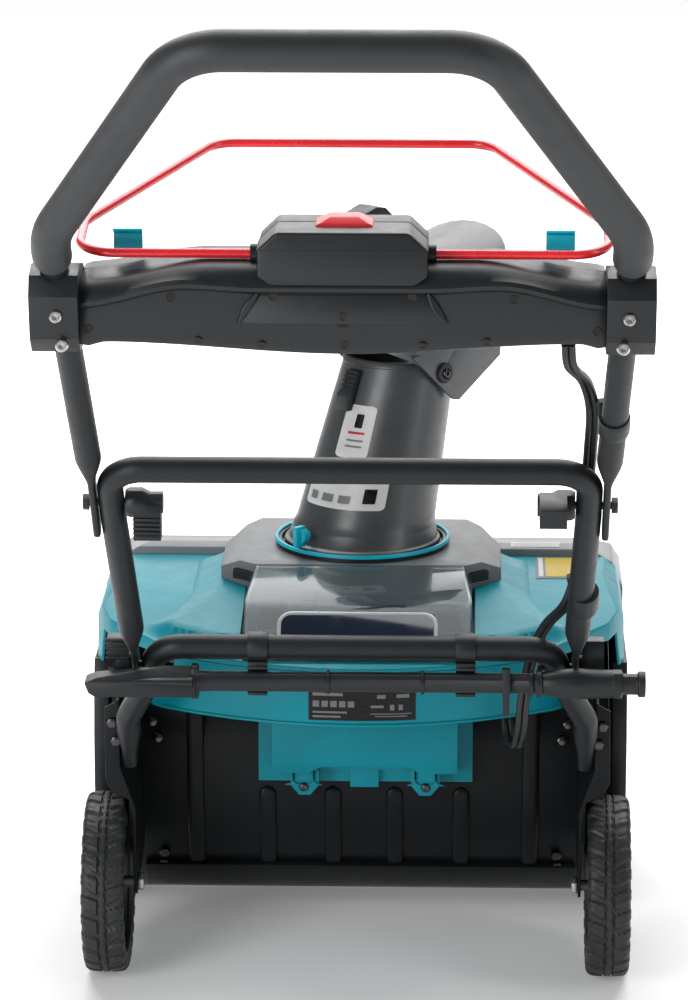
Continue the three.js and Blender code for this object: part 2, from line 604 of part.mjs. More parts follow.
// ---------- control housing ----------
function controls(legBore) {
  const wing = [[-548, 786], [-558, 800], [-560, 838], [-546, 856], [-520, 862], [-482, 867], [-460, 856],
    [-454, 800], [-472, 784]];
  const silhouette = [[DASH_HALF, 788], [DASH_HALF, 857], [121, 872], [-121, 872], [-DASH_HALF, 857],
    [-DASH_HALF, 788], [-212, 793], [0, 783], [212, 793]];
  const hump = prismX([[-550, 845], [-566, 856], [-564, 890], [-554, 898], [-486, 898], [-474, 884],
    [-474, 845]],
    -75, 75).intersect(prismY(mirrored([[72, 840], [74, 884], [56, 899]]), -600, -400));
  const whole = prismX(wing, -240, 240).intersect(prismY(silhouette, -600, -400)).add(hump);
  const seats = [-74, 74].map((x) => rod(BAIL_RADIUS + 0.5, 14, 14, 'x', x, BAIL_PIVOT.y, BAIL_PIVOT.z));
  const buttonWell = box(-27, 29, -540, -498, 871, 905);
  const dash = whole.subtract(join(...seats)).subtract(buttonWell);
  const seam = -512;
  add('dash_rear_shell', dash.intersect(box(-300, 300, -600, seam - GAP / 2, 700, 950)), 'black');
  add('dash_front_shell', dash.intersect(box(-300, 300, seam + GAP / 2, -400, 700, 950)), 'black');

  const button = prismX([[-538, 877], [-538, 900], [-530, 906], [-508, 906], [-500, 900],
    [-500, 877]], -25, 27)
    .intersect(prismY([[-25, 877], [27, 877], [27, 899], [14, 906], [-12, 906], [-25, 899]], -560, -480));
  add('lock_button', button, 'red');

  const cap = [[-566, 800], [-575, 840], [-566, 858], [-540, 864], [-505, 858], [-462, 830],
    [-458, 796], [-474, 784],
    [-548, 785]];
  for (const [side, sign] of SIDES) {
    const near = sign * (DASH_HALF + 0.4);
    const block = prismX(cap, Math.min(near, sign * 279), Math.max(near, sign * 279)).subtract(legBore);
    add(`end_cap_${side}`, block, 'black');
    const hook = prismX([[-508, 864.6], [-506, 884], [-516, 888], [-516, 890], [-503, 887],
      [-498, 865.6]], -13, 13)
      .translate([sign * 194.5, 0, 1.5]);
    add(`dash_hook_${side}`, hook, 'cyan');
  }
}

function bail() {
  const away = point(0, Math.cos(radians(BAIL_REST)), Math.sin(radians(BAIL_REST)));
  const at = (x, reach) => point(x, BAIL_PIVOT.y, BAIL_PIVOT.z).addScaledVector(away, reach);
  const leftHalf = [[at(-70, 0), 0], [at(-238, 0), 34], [at(-238, 82), 60], [at(-131, 307), 32]];
  const path = bentPath(mirrorPath(leftHalf));
  add('bail', tube(path, BAIL_RADIUS, 8), 'red');
}

// a cam lever knob: stud through the joint, round body and a ribbed lever
function longKnob() {
  const body = turned([[0, 0], [13, 0], [15, 4], [15, 16], [11, 24], [11, 36],
    [0, 36]], 12, 'x', 0, 0, 0);
  const lever = prismX([[-13, 0], [13, 0], [13, 27], [9, 36], [-9, 36], [-13, 27]], 8, 34);
  return body.add(lever);
}

function knobs() {
  const upper = longKnob();
  for (const [side, sign] of SIDES) {
    const turn = sign < 0 ? [180, 0, 0] : [100, 0, 0];
    const stud = rod(4, 46, 10, 'x', -18, 0, 0).add(rod(8, 6, 6, 'x', -38, 0, 0));
    const piece = upper.rotate(turn).add(stud);
    const placed = sign < 0 ? piece : piece.mirror([1, 0, 0]);
    add(`upper_knob_${side}`, placed.translate([sign * 215.6, UPPER_JOINT.y, UPPER_JOINT.z]), 'black');
  }
  const shortKnob = turned([[0, 0], [12, 0], [13, 3], [13, 14], [10, 24], [0, 24]], 12, 'x', 0, 0, 0)
    .add(prismX([[-11, 0], [11, 0], [12, 22], [9, 30], [-9, 30], [-12, 22]], 3, 25));
  for (const [side, sign] of SIDES) {
    const stud = rod(4, 40, 10, 'x', -19, 0, 0).add(rod(7, 5, 6, 'x', -39.5, 0, 0));
    const piece = shortKnob.add(stud);
    const placed = sign > 0 ? piece : piece.mirror([1, 0, 0]);
    add(`lower_knob_${side}`, placed.translate([sign * 226.8, LOWER_JOINT.y, LOWER_JOINT.z]), 'black');
  }
}

// ---------- chute ----------
// the deflector's crown line from its back to its front rim, as (y, z) from its hinge
const HOOD_HALF = 69.6;
const HOOD_ARCH = 44;               // height of the rounded crown
const HOOD_FOOT = [-6, -4];         // the sections fan out from here
const HOOD_CROWN = [[-67, 31], [-62, 52], [-48, 78], [-25, 99], [10, 112], [50, 121], [86, 131],
  [115, 140]];

// straight sides with a rounded crown, in sections that fan out to the crown line
function archedFan(crown, half, wall, start) {
  const steps = 12;
  const rows = crown.map(([crownY, crownZ]) => {
    const full = Math.hypot(crownY - HOOD_FOOT[0], crownZ - HOOD_FOOT[1]);
    const [alongY, alongZ] = [(crownY - HOOD_FOOT[0]) / full, (crownZ - HOOD_FOOT[1]) / full];
    const row = [[half, start]];
    for (let i = 0; i <= steps; i += 1) {
      const angle = (Math.PI * i) / steps;
      row.push([half * Math.cos(angle), full - wall - (HOOD_ARCH - wall) * (1 - Math.sin(angle))]);
    }
    row.push([-half, start]);
    return row.map(([x, out]) => [x, HOOD_FOOT[0] + alongY * out, HOOD_FOOT[1] + alongZ * out]);
  });
  return skinned(rows);
}

function chute() {
  const turntable = new THREE.Group();
  turntable.position.set(0, CHUTE_Y, 0);
  turntable.rotation.z = radians(CHUTE_YAW);
  machine.add(turntable);

  const radiusAt = (z) => 75 - 0.085 * (z - 436);
  const section = (z, inset) => [CHUTE_LEAN * (z - 424), z, radiusAt(z) - inset];
  const outer = loft([[0, CHUTE_BASE, 83.5], [0, 419, 83.5], [1, 420, 79.5],
    [3, 436, 77], section(437, 0),
    section(CHUTE_RIM, 0)], 24);
  const inner = loft([[0, 400, 73], [1, 424, 73], section(440, SHEET), section(620, SHEET)], 24);
  const bosses = [-1, 1].map((sign) => rod(11, 8, 16, 'x', sign * 62, PIVOT_OFFSET, PIVOT_Z));
  add('chute_tube', join(outer, ...bosses).subtract(inner), 'chute', turntable);

  let rack = prismX([[-31, 562], [-23.6, 562], [-7.9, 603], [-17, 603], [-25, 584], [-31, 578]], -8, 8);
  for (let i = 0; i < 4; i += 1) {
    const z = 584 + 4.6 * i;
    const y = -25 + 1.9 * i;
    rack = rack.subtract(prismX([[y - 4, z], [y + 3, z + 1.6], [y - 4, z + 3.2]].reverse(), -20, 20));
  }
  add('chute_rack', rack, 'black', turntable);

  const wing = turned([[0, 0], [4, 0], [4, 6], [9, 6], [9, 14], [0, 14]], 12, 'y', 0, 0, 0)
    .add(box(-3, 3, 7, 20, -11, 11));
  add('chute_lock_knob', wing.rotate([0, 0, 180]).translate([0, -79.4, 434]), 'cyan', turntable);

  const at = (points) => points.map(([y, z]) => [y + PIVOT_OFFSET, z + PIVOT_Z]);
  const placed = (body) => body.translate([0, PIVOT_OFFSET, PIVOT_Z]);
  const outside = archedFan(HOOD_CROWN, HOOD_HALF, 0, 3);
  const inside = archedFan([[-68, -8], ...HOOD_CROWN, [128, 140]], HOOD_HALF - SHEET, SHEET, 1);
  const ear = [[-46, 23], [14, -31], [23, -33], [85, 7], [86.7, 106], [0, 2], [-30, 24]];
  const ears = SIDES.map(([, sign]) => prismX(ear, Math.min(sign * HOOD_HALF, sign * (HOOD_HALF - SHEET)),
    Math.max(sign * HOOD_HALF, sign * (HOOD_HALF - SHEET))));
  add('deflector_hood', placed(join(outside.subtract(inside), ...ears)), 'chute', turntable);

  const lever = prismX(at([[-70, 163], [-66, 171], [-46, 177.5], [-32, 175], [5, 142], [27, 117.8],
    [9, 113.6],
    [-14, 142], [-28, 156], [-44, 163], [-62, 161]]), -14, 14);
  add('deflector_handle', lever, 'black', turntable);
  const trigger = prismX(at([[-58, 153], [-57, 158.5], [-44, 161], [-32, 155], [-36, 148],
    [-48, 154]]), -10, 10);
  add('deflector_trigger', trigger, 'cyan', turntable);
}

// ---------- clean-out tool and its clips ----------
function tool() {
  const handle = turned([[0, -30], [10, -30], [11.5, -20], [10.5, 0], [10.5, 330], [11.5, 332],
    [15, 350], [16, 375],
    [14.5, 404], [15, 406], [15, 414], [11, 415], [11, 430], [13.5, 431], [13.5, 438],
    [0, 438]], 12, 'x', -145,
  TOOL_Y, TOOL_Z);
  const blade = prismX([[-17, -13], [17, -13], [15, 3], [0, 16], [-15, 3]], 0, 112);
  const taper = prismY([[112, -18], [112, 18], [90, 17], [12, 6], [0, 1], [4, -9], [12, -14]], -40, 40);
  const scoop = blade.intersect(taper).translate([-272, TOOL_Y, TOOL_Z]);
  add('clean_out_tool', handle.add(scoop), 'black');

  const crossbar = { y: -113, z: 385 };
  for (const [side, x] of [['left', -98], ['right', 112]]) {
    const wrap = ring(TUBE_RADIUS + GAP, TUBE_RADIUS + 3, 20, 14, 'x', x, crossbar.y, crossbar.z);
    const cup = ring(12, 15, 20, 14, 'x', x, TOOL_Y, TOOL_Z).subtract(
      box(x - 20, x + 20, TOOL_Y - 30, TOOL_Y, TOOL_Z - 15.5, TOOL_Z + 15.5));
    const web = box(x - 10, x + 10, -127, -116, 367, 373);
    const bores = rod(12, 30, 14, 'x', x, TOOL_Y, TOOL_Z).add(rod(TUBE_RADIUS + GAP, 30, 14, 'x', x,
      crossbar.y,
      crossbar.z));
    add(`tool_clip_${side}`, join(wrap, cup, web).subtract(bores), 'black');
  }
}

// ---------- cables: a pair from the control housing down to the body ----------
function pair(points) {
  const spread = 3.2;
  const tubes = [-1, 1].map((sign) => {
    const curve = new THREE.CatmullRomCurve3(points.map((p) => point(p.x + sign * spread, p.y, p.z)));
    return tube(new StationPath(curve.getSpacedPoints(points.length * 2)), 3.4, 8);
  });
  return tubes[0].add(tubes[1]);
}

function cables() {
  add('cable_pair_upper', pair([point(203, -488, 781), point(206, -470, 757), alongHandle(221, 180, 19),
    alongHandle(229, 130, 22), alongHandle(229, 60, 25), alongHandle(228, 0, 25), alongHandle(228, -60,
      23),
    alongHandle(226, -120, 21), alongHandle(222, -160, 21)]), 'black');
  add('cable_pair_lower', pair([alongHandle(221.6, -164, 21), point(212, -150, 443), point(194, -86, 403),
    point(181, -60, 366), point(172, -64, 320), point(169, -60, 285), point(165, -44, 262), point(158,
      -22, 264),
    point(154, -6, 290)]), 'black');
}

housing();
drive();
auger();
wheels();
wheelBrackets();
body();
hubCover();
batteryBay();
rearCover();
frames();
const legBore = upperHandle();
controls(legBore);
bail();
knobs();
chute();
tool();
cables();

machine.updateMatrixWorld(true);
const size = new THREE.Box3().setFromObject(machine, true);
machine.position.set(-(size.min.x + size.max.x) / 2, -(size.min.y + size.max.y) / 2, -size.min.z);

export default machine;
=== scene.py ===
"""Looks for the battery snow blower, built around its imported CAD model. Metres, +Y forward, +Z up."""
import json
import math

import bmesh
import bpy
from mathutils import Matrix, Vector
from mathutils.bvhtree import BVHTree


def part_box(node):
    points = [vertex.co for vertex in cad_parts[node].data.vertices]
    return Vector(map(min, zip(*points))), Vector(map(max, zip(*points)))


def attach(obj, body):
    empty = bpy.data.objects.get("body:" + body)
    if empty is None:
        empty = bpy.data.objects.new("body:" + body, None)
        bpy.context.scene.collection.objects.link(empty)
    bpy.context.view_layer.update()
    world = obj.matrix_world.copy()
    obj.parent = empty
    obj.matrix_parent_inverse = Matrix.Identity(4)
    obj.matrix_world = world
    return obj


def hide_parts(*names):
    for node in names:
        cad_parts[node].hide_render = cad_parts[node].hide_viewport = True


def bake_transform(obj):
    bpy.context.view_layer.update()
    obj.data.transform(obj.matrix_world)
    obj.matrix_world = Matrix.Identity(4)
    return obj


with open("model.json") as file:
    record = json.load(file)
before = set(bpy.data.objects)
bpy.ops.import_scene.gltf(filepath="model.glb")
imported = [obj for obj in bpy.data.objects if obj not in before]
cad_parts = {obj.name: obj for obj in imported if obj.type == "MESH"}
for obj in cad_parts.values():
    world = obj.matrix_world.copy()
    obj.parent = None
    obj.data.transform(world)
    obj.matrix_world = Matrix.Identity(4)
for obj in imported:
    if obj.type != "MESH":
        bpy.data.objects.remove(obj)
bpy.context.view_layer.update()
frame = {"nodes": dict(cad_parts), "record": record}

MM = 0.001

# The wheel axle is where the machine's own sizes are counted from.
left_low, left_high = (Vector(corner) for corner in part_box("tyre_left"))
right_low, right_high = (Vector(corner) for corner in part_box("tyre_right"))
AXLE = Vector(((left_low.x + right_high.x) / 2, (left_low.y + left_high.y) / 2, 0))


def at(x, y, z):
    """A point given in millimetres from below the middle of the axle."""
    return Vector((x, y, z)) * MM + AXLE


# ---------- sizes, in millimetres from the axle ----------
WHEEL_X = 262
WHEEL_RADIUS = 95
TUBE_RADIUS = 12.7
GRIP_RADIUS = 18
BAIL_RADIUS = 4.3
HANDLE_SLOPE = math.radians(47.3)
LOWER_JOINT = (-95, 361)
UPPER_JOINT = (-300, 583)
BAIL_PIVOT = (-530, 872)
BAIL_REST = math.radians(9)
CHUTE_Y = 207
CHUTE_YAW = math.radians(-45)
CHUTE_LEAN = 0.3
CHUTE_FOOT = 424
PIVOT_Z = 601
AUGER = (260, 165)
DRUM_RADIUS = 155
BACK_Y = 105
TOOL = (-130, 354)
LID_CLOUD_Y = 14
CHUTE_LABEL_RADIUS = 70
# The lower and upper ends of the lid's sloping rear face.
LID_SLOPE = ((-46, 351), (4, 392))
LID_TILT = math.atan2(LID_SLOPE[1][1] - LID_SLOPE[0][1], LID_SLOPE[1][0] - LID_SLOPE[0][0])

# ---------- materials ----------


# The finishes by name. The CAD's slots carry the same names.
FINISHES = {}


class Material:
    """A new material, with the few node set-ups that the finishes are made of."""

    def __init__(self, name):
        self.made = bpy.data.materials.new(name)
        self.made.use_nodes = True
        self.nodes = self.made.node_tree.nodes
        self.inputs = self.nodes["Principled BSDF"].inputs
        FINISHES[name] = self.made

    def link(self, output, target):
        self.made.node_tree.links.new(output, target)

    def add(self, kind, values, name, source):
        """A new node with its values set and its one named input linked to a source."""
        node = self.nodes.new("ShaderNode" + kind)
        for key, value in values.items():
            node.inputs[key].default_value = value
        self.link(source, node.inputs[name])
        return node.outputs

    def place(self):
        return self.nodes.new("ShaderNodeTexCoord").outputs["Object"]

    def noise(self, scale, detail=2.0, stretch=(1, 1, 1)):
        stretched = self.add("Mapping", {"Scale": stretch}, "Vector", self.place())["Vector"]
        return self.add("TexNoise", {"Scale": scale, "Detail": detail}, "Vector", stretched)["Fac"]

    def ranged(self, source, low, high, start=0.3, end=0.7):
        ends = {"From Min": start, "From Max": end, "To Min": low, "To Max": high}
        return self.add("MapRange", ends, "Value", source)["Result"]

    def between(self, factor, first, second):
        node = self.nodes.new("ShaderNodeMix")
        node.data_type = "RGBA"
        node.inputs["A"].default_value = (*first, 1)
        node.inputs["B"].default_value = (*second, 1)
        self.link(factor, node.inputs["Factor"])
        return node.outputs["Result"]

    def bumped(self, height, strength, distance):
        values = {"Strength": strength, "Distance": distance}
        self.link(self.add("Bump", values, "Height", height)["Normal"], self.inputs["Normal"])


def finish(name, colour, roughness, grain=900, depth=0.00005, strength=0.3, mottle=0.12, metallic=0.0,
           coat=0.0, sheen=0.0, specular=0.5, stretch=(1, 1, 1), glow=False):
    """A surface with a broad change of colour, uneven gloss and a fine grain. A glow grows outward."""
    material = Material(name)
    inputs = material.inputs
    dark = [channel * (1 - mottle) for channel in colour]
    light = [channel * (1 + mottle) for channel in colour]
    broad = material.ranged(material.noise(9, 4), 0, 1)
    material.link(material.between(broad, dark, light), inputs["Base Color"])
    uneven = material.noise(60, 3, stretch)
    material.link(material.ranged(uneven, roughness - 0.04, roughness + 0.05), inputs["Roughness"])
    material.bumped(material.noise(grain, 2, stretch), strength, depth)
    for key, value in (("Metallic", metallic), ("Coat Weight", coat), ("Coat Roughness", 0.2),
                       ("Sheen Weight", sheen), ("Specular IOR Level", specular)):
        inputs[key].default_value = value
    if glow:
        distance = material.nodes.new("ShaderNodeVectorMath")
        distance.operation = "LENGTH"
        material.link(material.place(), distance.inputs[0])
        power = material.ranged(distance.outputs["Value"], 0.16, 0.75, 0.5, 3.0)
        material.link(power, inputs["Emission Strength"])
        inputs["Emission Color"].default_value = (1, 1, 1, 1)
    return material.made


TEAL = finish("teal_plastic", (0.0, 0.215, 0.27), 0.40, grain=1400, depth=0.00001, strength=0.05,
              specular=0.2)
CYAN = finish("cyan_plastic", (0.0, 0.44, 0.58), 0.38, grain=1400, depth=0.00002, specular=0.3)
RED = finish("red_paint", (0.80, 0.02, 0.03), 0.26, grain=300, depth=0.00001, strength=0.1, coat=0.3)
finish("red_plastic", (0.78, 0.03, 0.035), 0.34, grain=1400, depth=0.00002)
BLACK_PLASTIC = finish("black_plastic", (0.010, 0.012, 0.014), 0.40, grain=1500, depth=0.00003, strength=0.2,
                       specular=0.35)
BLACK_STEEL = finish("black_steel", (0.006, 0.007, 0.008), 0.36, grain=420, depth=0.00005, specular=0.15)
TUBE_PAINT = finish("tube_paint", (0.010, 0.012, 0.014), 0.44, grain=420, depth=0.00004, specular=0.3)
FOAM = finish("foam", (0.011, 0.013, 0.015), 0.52, grain=700, depth=0.00016, strength=0.5, sheen=0.1)
GREY_PLASTIC = finish("grey_plastic", (0.135, 0.140, 0.145), 0.42, grain=1400, depth=0.00004, specular=0.3)
BAND_PLASTIC = finish("band_plastic", (0.20, 0.21, 0.22), 0.36, grain=1400, depth=0.00004)
CHUTE_PLASTIC = finish("chute_plastic", (0.034, 0.038, 0.042), 0.36, grain=1200, depth=0.00001, strength=0.1,
                       specular=0.8)
finish("battery_navy", (0.004, 0.008, 0.035), 0.35, specular=0.1)
finish("steel", (0.46, 0.46, 0.47), 0.32, grain=500, metallic=1.0, stretch=(1, 12, 12))
ZINC = finish("zinc", (0.50, 0.50, 0.50), 0.26, grain=600, metallic=1.0)
finish("motor_black", (0.02, 0.02, 0.021), 0.45)
TYRE = finish("tyre_rubber", (0.010, 0.011, 0.012), 0.50, grain=800, depth=0.00012, strength=0.5)
finish("wheel_plastic", (0.012, 0.013, 0.015), 0.42)
finish("paddle_rubber", (0.016, 0.016, 0.018), 0.6, grain=700, depth=0.0001)
CABLE = finish("cable_rubber", (0.009, 0.010, 0.011), 0.42, grain=900, depth=0.00005)
DEEP_BLACK = finish("deep_black", (0.002, 0.002, 0.002), 0.7)
BLACK_ZINC = finish("black_zinc", (0.07, 0.07, 0.075), 0.22, metallic=1.0)
LABEL_WHITE = finish("label_white", (0.93, 0.93, 0.93), 0.35, grain=300, mottle=0.02)
LABEL_YELLOW = finish("label_yellow", (0.86, 0.62, 0.02), 0.35, grain=300, mottle=0.03)
LABEL_GREY = finish("label_grey", (0.30, 0.31, 0.32), 0.35, grain=300, mottle=0.04)
LABEL_RED = finish("label_red", (0.75, 0.05, 0.04), 0.35, grain=300, mottle=0.03)
SMOKED = finish("smoked_pane", (0.004, 0.010, 0.026), 0.10, grain=300, depth=0.00001, strength=0.05)
# A light grey rim for the lid window: painted highlight standing in for the glints on the clear plastic's
# rounded edge.
LID_RIM_HIGHLIGHT = finish("lid_rim_highlight", (0.42, 0.44, 0.45), 0.14, grain=300, mottle=0.05, coat=0.5)
RATING_BLACK = finish("rating_black", (0.004, 0.004, 0.005), 0.3, grain=300, mottle=0.05)


def clear_plastic():
    """Clear plastic, clouded toward its upper end and see-through lower down."""
    material = Material("clear_lid")
    broad = material.ranged(material.noise(12, 3), 0, 1)
    tint = material.between(broad, (0.40, 0.48, 0.51), (0.46, 0.54, 0.57))
    material.link(tint, material.inputs["Base Color"])
    material.link(material.ranged(material.noise(50, 2), 0.04, 0.10), material.inputs["Roughness"])
    forward = material.add("SeparateXYZ", {}, "Vector", material.place())["Y"]
    clouded = AXLE.y + LID_CLOUD_Y * MM
    clear = material.ranged(forward, 1.0, 0.90, clouded - 0.006, clouded + 0.006)
    material.link(clear, material.inputs["Transmission Weight"])
    material.inputs["IOR"].default_value = 1.3


clear_plastic()

SLOT_OF = {part["node"]: part["material_slot"] for part in frame["record"]["subparts"]}
BODY_OF = {node: body for body, nodes in frame["record"]["behaviour"]["bodies"].items() for node in nodes}

# ---------- making pieces ----------


def piece(name, mesh, finish_used, body, stands_for=(), smooth=35):
    """A finished mesh as a piece of the machine, riding on a body when one is given."""
    made = bpy.data.objects.new(name, mesh)
    bpy.context.scene.collection.objects.link(made)
    mesh.name = name
    mesh.materials.clear()
    mesh.materials.append(finish_used)
    for face in mesh.polygons:
        face.use_smooth = True
    mesh.set_sharp_from_angle(angle=math.radians(smooth))
    if body:
        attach(made, body)
    if stands_for:
        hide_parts(*stands_for)
    return made


def black(name, mesh, body, smooth=35):
    """A small piece of plain black plastic."""
    return piece(name, mesh, BLACK_PLASTIC, body, smooth=smooth)


def to_mesh(work):
    bmesh.ops.recalc_face_normals(work, faces=work.faces)
    mesh = bpy.data.meshes.new("shape")
    work.to_mesh(mesh)
    work.free()
    return mesh


def sharp_edges(work, angle):
    return [edge for edge in work.edges
            if edge.is_manifold and edge.calc_face_angle(0) > math.radians(angle)]


def rounded(node, radius):
    """The CAD node's own shape with its edges rounded, standing for that node."""
    work = bmesh.new()
    work.from_mesh(frame["nodes"][node].data)
    bmesh.ops.remove_doubles(work, verts=work.verts, dist=1e-6)
    bmesh.ops.dissolve_limit(work, angle_limit=math.radians(0.6), verts=work.verts, edges=work.edges)
    bmesh.ops.dissolve_degenerate(work, dist=1e-5, edges=work.edges)
    bmesh.ops.bevel(work, geom=sharp_edges(work, 30), offset=radius * MM, segments=2, profile=0.6,
                    affect="EDGES", clamp_overlap=True)
    slot = SLOT_OF[node]
    colour = OTHER_FINISH.get(node, FINISHES[slot])
    piece(node + "_finished", to_mesh(work), colour, BODY_OF[node], [node])


# ---------- shapes ----------


def bent(corners, step=5):
    """Points along straight runs joined by bends; corners are (point, bend radius in millimetres)."""
    points = []
    for index, (corner, radius) in enumerate(corners):
        if index in (0, len(corners) - 1) or not radius:
            points.append(corner.copy())
            continue
        before = (corners[index - 1][0] - corner).normalized()
        after = (corners[index + 1][0] - corner).normalized()
        half = before.angle(after) / 2
        centre = corner + (before + after).normalized() * (radius * MM / math.sin(half))
        start = corner + before * (radius * MM / math.tan(half)) - centre
        turn = math.pi - 2 * half
        axis = before.cross(after).normalized()
        count = max(3, math.ceil(math.degrees(turn) / step))
        for part in range(count + 1):
            points.append(Matrix.Rotation(-turn * part / count, 3, axis) @ start + centre)
    return points


def spaced(points, gap):
    """The same line with a point about every gap millimetres."""
    line = [points[0].copy()]
    for first, second in zip(points, points[1:]):
        count = max(1, round((second - first).length / (gap * MM)))
        line += [first.lerp(second, part / count) for part in range(1, count + 1)]
    return line


def mirrored_path(corners):
    middle = 2 * AXLE.x
    other = [(Vector((middle - p.x, p.y, p.z)), radius) for p, radius in reversed(corners)]
    return corners + other


def swept(line, section, sides=28, side=None):
    """A closed tube along a line. section(index) gives half-width, half-depth and squareness."""
    rows = []
    tangent = (line[1] - line[0]).normalized()
    across = side.copy() if side else tangent.orthogonal().normalized()
    for index, centre in enumerate(line):
        ahead = line[min(index + 1, len(line) - 1)] - line[max(index - 1, 0)]
        tangent = ahead.normalized()
        across = (across - tangent * across.dot(tangent)).normalized()
        depth = tangent.cross(across)
        wide, deep, square = section(index)
        row = []
        for part in range(sides):
            angle = 2 * math.pi * part / sides
            u = math.copysign(abs(math.cos(angle)) ** square, math.cos(angle)) * wide * MM
            v = math.copysign(abs(math.sin(angle)) ** square, math.sin(angle)) * deep * MM
            row.append(centre + across * u + depth * v)
        rows.append(row)
    return to_mesh(skin(rows))


def skin(rows, closed=False):
    """Faces over rings of points. The last ring joins the first if closed; else both ends are filled."""
    work = bmesh.new()
    rows = [[work.verts.new(point) for point in row] for row in rows]
    for first, second in zip(rows, rows[1:] + rows[:1] if closed else rows[1:]):
        for part, corner in enumerate(first):
            following = (part + 1) % len(first)
            work.faces.new((corner, first[following], second[following], second[part]))
    if not closed:
        work.faces.new(rows[0])
        work.faces.new(rows[-1])
    return work


def sheet(rows):
    """Faces over an open grid of points; a cell that lacks a corner is left out."""
    work = bmesh.new()
    rows = [[point and work.verts.new(point) for point in row] for row in rows]
    for first, second in zip(rows, rows[1:]):
        for corners in zip(first, first[1:], second[1:], second):
            if None not in corners:
                work.faces.new(corners)
    return work, rows


def turned(profile, matrix, segments=64, closed=False):
    """A turned piece: (radius, height) in millimetres about local Z, then placed by the matrix."""
    rows = []
    for radius, height in profile:
        row = []
        for part in range(segments):
            angle = 2 * math.pi * part / segments
            spot = Vector((max(radius, 0.01) * math.cos(angle), max(radius, 0.01) * math.sin(angle), height))
            row.append(matrix @ (spot * MM))
        rows.append(row)
    return to_mesh(skin(rows, closed))


def facing(place, direction):
    """A matrix that puts local Z along the direction at the place."""
    return Matrix.Translation(place) @ Vector(direction).to_track_quat("Z", "Y").to_matrix().to_4x4()


def plate(outline, matrix, depth, edge=0.5, segments=2):
    """An outline in local X and Y, carried along local Z, with its edges rounded. Millimetres."""
    work = skin([[matrix @ (Vector((x, y, height)) * MM) for x, y in outline] for height in (0, depth)])
    bmesh.ops.recalc_face_normals(work, faces=work.faces)
    bmesh.ops.bevel(work, geom=sharp_edges(work, 20), offset=edge * MM, segments=segments, profile=0.5,
                    affect="EDGES", clamp_overlap=True)
    return to_mesh(work)


def rectangle(wide, high, corner=0.0):
    """A rectangle about the origin with its corners cut round."""
    points = []
    for turn, (x, y) in enumerate([(1, 1), (-1, 1), (-1, -1), (1, -1)]):
        for part in range(4):
            angle = math.radians(90 * turn + 30 * part)
            points.append((x * (wide / 2 - corner) + corner * math.cos(angle),
                           y * (high / 2 - corner) + corner * math.sin(angle)))
    return points


def smooth_step(value, start, end):
    part = min(max((value - start) / (end - start), 0), 1)
    return part * part * (3 - 2 * part)


SIDES = (("left", -1), ("right", 1))
REAR = Vector((0, -1, 0))
FORWARD = Vector((0, 1, 0))
DOWN = Vector((0, 0, -1))
UP = Vector((0, 0, 1))
ACROSS = Vector((1, 0, 0))


def surface(mesh):
    """A mesh as a surface that other things are laid on."""
    return BVHTree.FromPolygons([vertex.co for vertex in mesh.vertices],
                                [tuple(face.vertices) for face in mesh.polygons])


def onto(base, place, direction, lift=0.0):
    """Where a line from the place meets the surface, and the way that the surface faces there."""
    spot, normal, _, _ = base.ray_cast(place, direction)
    if spot is None:
        return None, None
    if normal.dot(direction) > 0:
        normal = -normal
    return spot + normal * lift * MM, normal


def thin(name, rows, finish_used, body):
    """A thin sheet through rows of points."""
    work, _ = sheet(rows)
    bmesh.ops.solidify(work, geom=work.faces[:], thickness=0.15 * MM)
    piece(name, to_mesh(work), finish_used, body)


def sticker(name, base, corners, direction, finish_used, body, lift=0.3):
    """A thin sheet laid on a surface; corners run round it and are carried along the direction."""
    steps = 14
    rows = []
    for down in range(steps + 1):
        row = []
        for over in range(steps + 1):
            upper = corners[0].lerp(corners[1], over / steps)
            lower = corners[3].lerp(corners[2], over / steps)
            row.append(onto(base, upper.lerp(lower, down / steps), direction, lift)[0])
        rows.append(row)
    thin(name, rows, finish_used, body)


def inside_corners(corners, left, right, top, bottom):
    """The corners of a smaller patch: how far it runs across and down the larger one, from 0 to 1."""
    def spot(over, down):
        return corners[0].lerp(corners[1], over).lerp(corners[3].lerp(corners[2], over), down)
    return [spot(left, top), spot(right, top), spot(right, bottom), spot(left, bottom)]


# ---------- handle frames ----------

ALONG = Vector((0, -math.cos(HANDLE_SLOPE), math.sin(HANDLE_SLOPE)))
LIFT = Vector((0, math.sin(HANDLE_SLOPE), math.cos(HANDLE_SLOPE)))
JOINT_SPAN = math.hypot(UPPER_JOINT[0] - LOWER_JOINT[0], UPPER_JOINT[1] - LOWER_JOINT[1])


def on_handle(x, distance, lift=0.0):
    """A point on the handle's slope: x across, distance along it from the upper joint."""
    return at(x, *UPPER_JOINT) + (ALONG * distance + LIFT * lift) * MM


def handle_distance(point):
    return (point - at(0, *UPPER_JOINT)).dot(ALONG) / MM


def flat_ended(line, joint, flat_half, eye_radius, round_from, round_to):
    """Tube sections with flat ends and a round eye about the joint."""
    def section(index):
        along = handle_distance(line[index]) - joint
        roundness = smooth_step(along, round_from, round_to)
        deep = eye_radius
        if along < 0:
            deep = math.sqrt(max(eye_radius ** 2 - along ** 2, 4))
        return (flat_half + (TUBE_RADIUS - flat_half) * roundness, deep + (TUBE_RADIUS - deep) * roundness,
                0.45 + 0.55 * roundness)
    return section


def middle_frame():
    joint = -JOINT_SPAN
    corners = mirrored_path([(on_handle(-222.9, joint - 12.8), 0), (on_handle(-222.9, joint + 38), 60),
                             (on_handle(-229, -20), 200), (on_handle(-229, 57), 32)])
    line = spaced(bent(corners), 3)
    mesh = swept(line, flat_ended(line, joint, 3.3, 13, 34, 74), 32, ACROSS)
    piece("middle_frame_tube", mesh, TUBE_PAINT, "handle_middle", ["middle_frame"], 50)


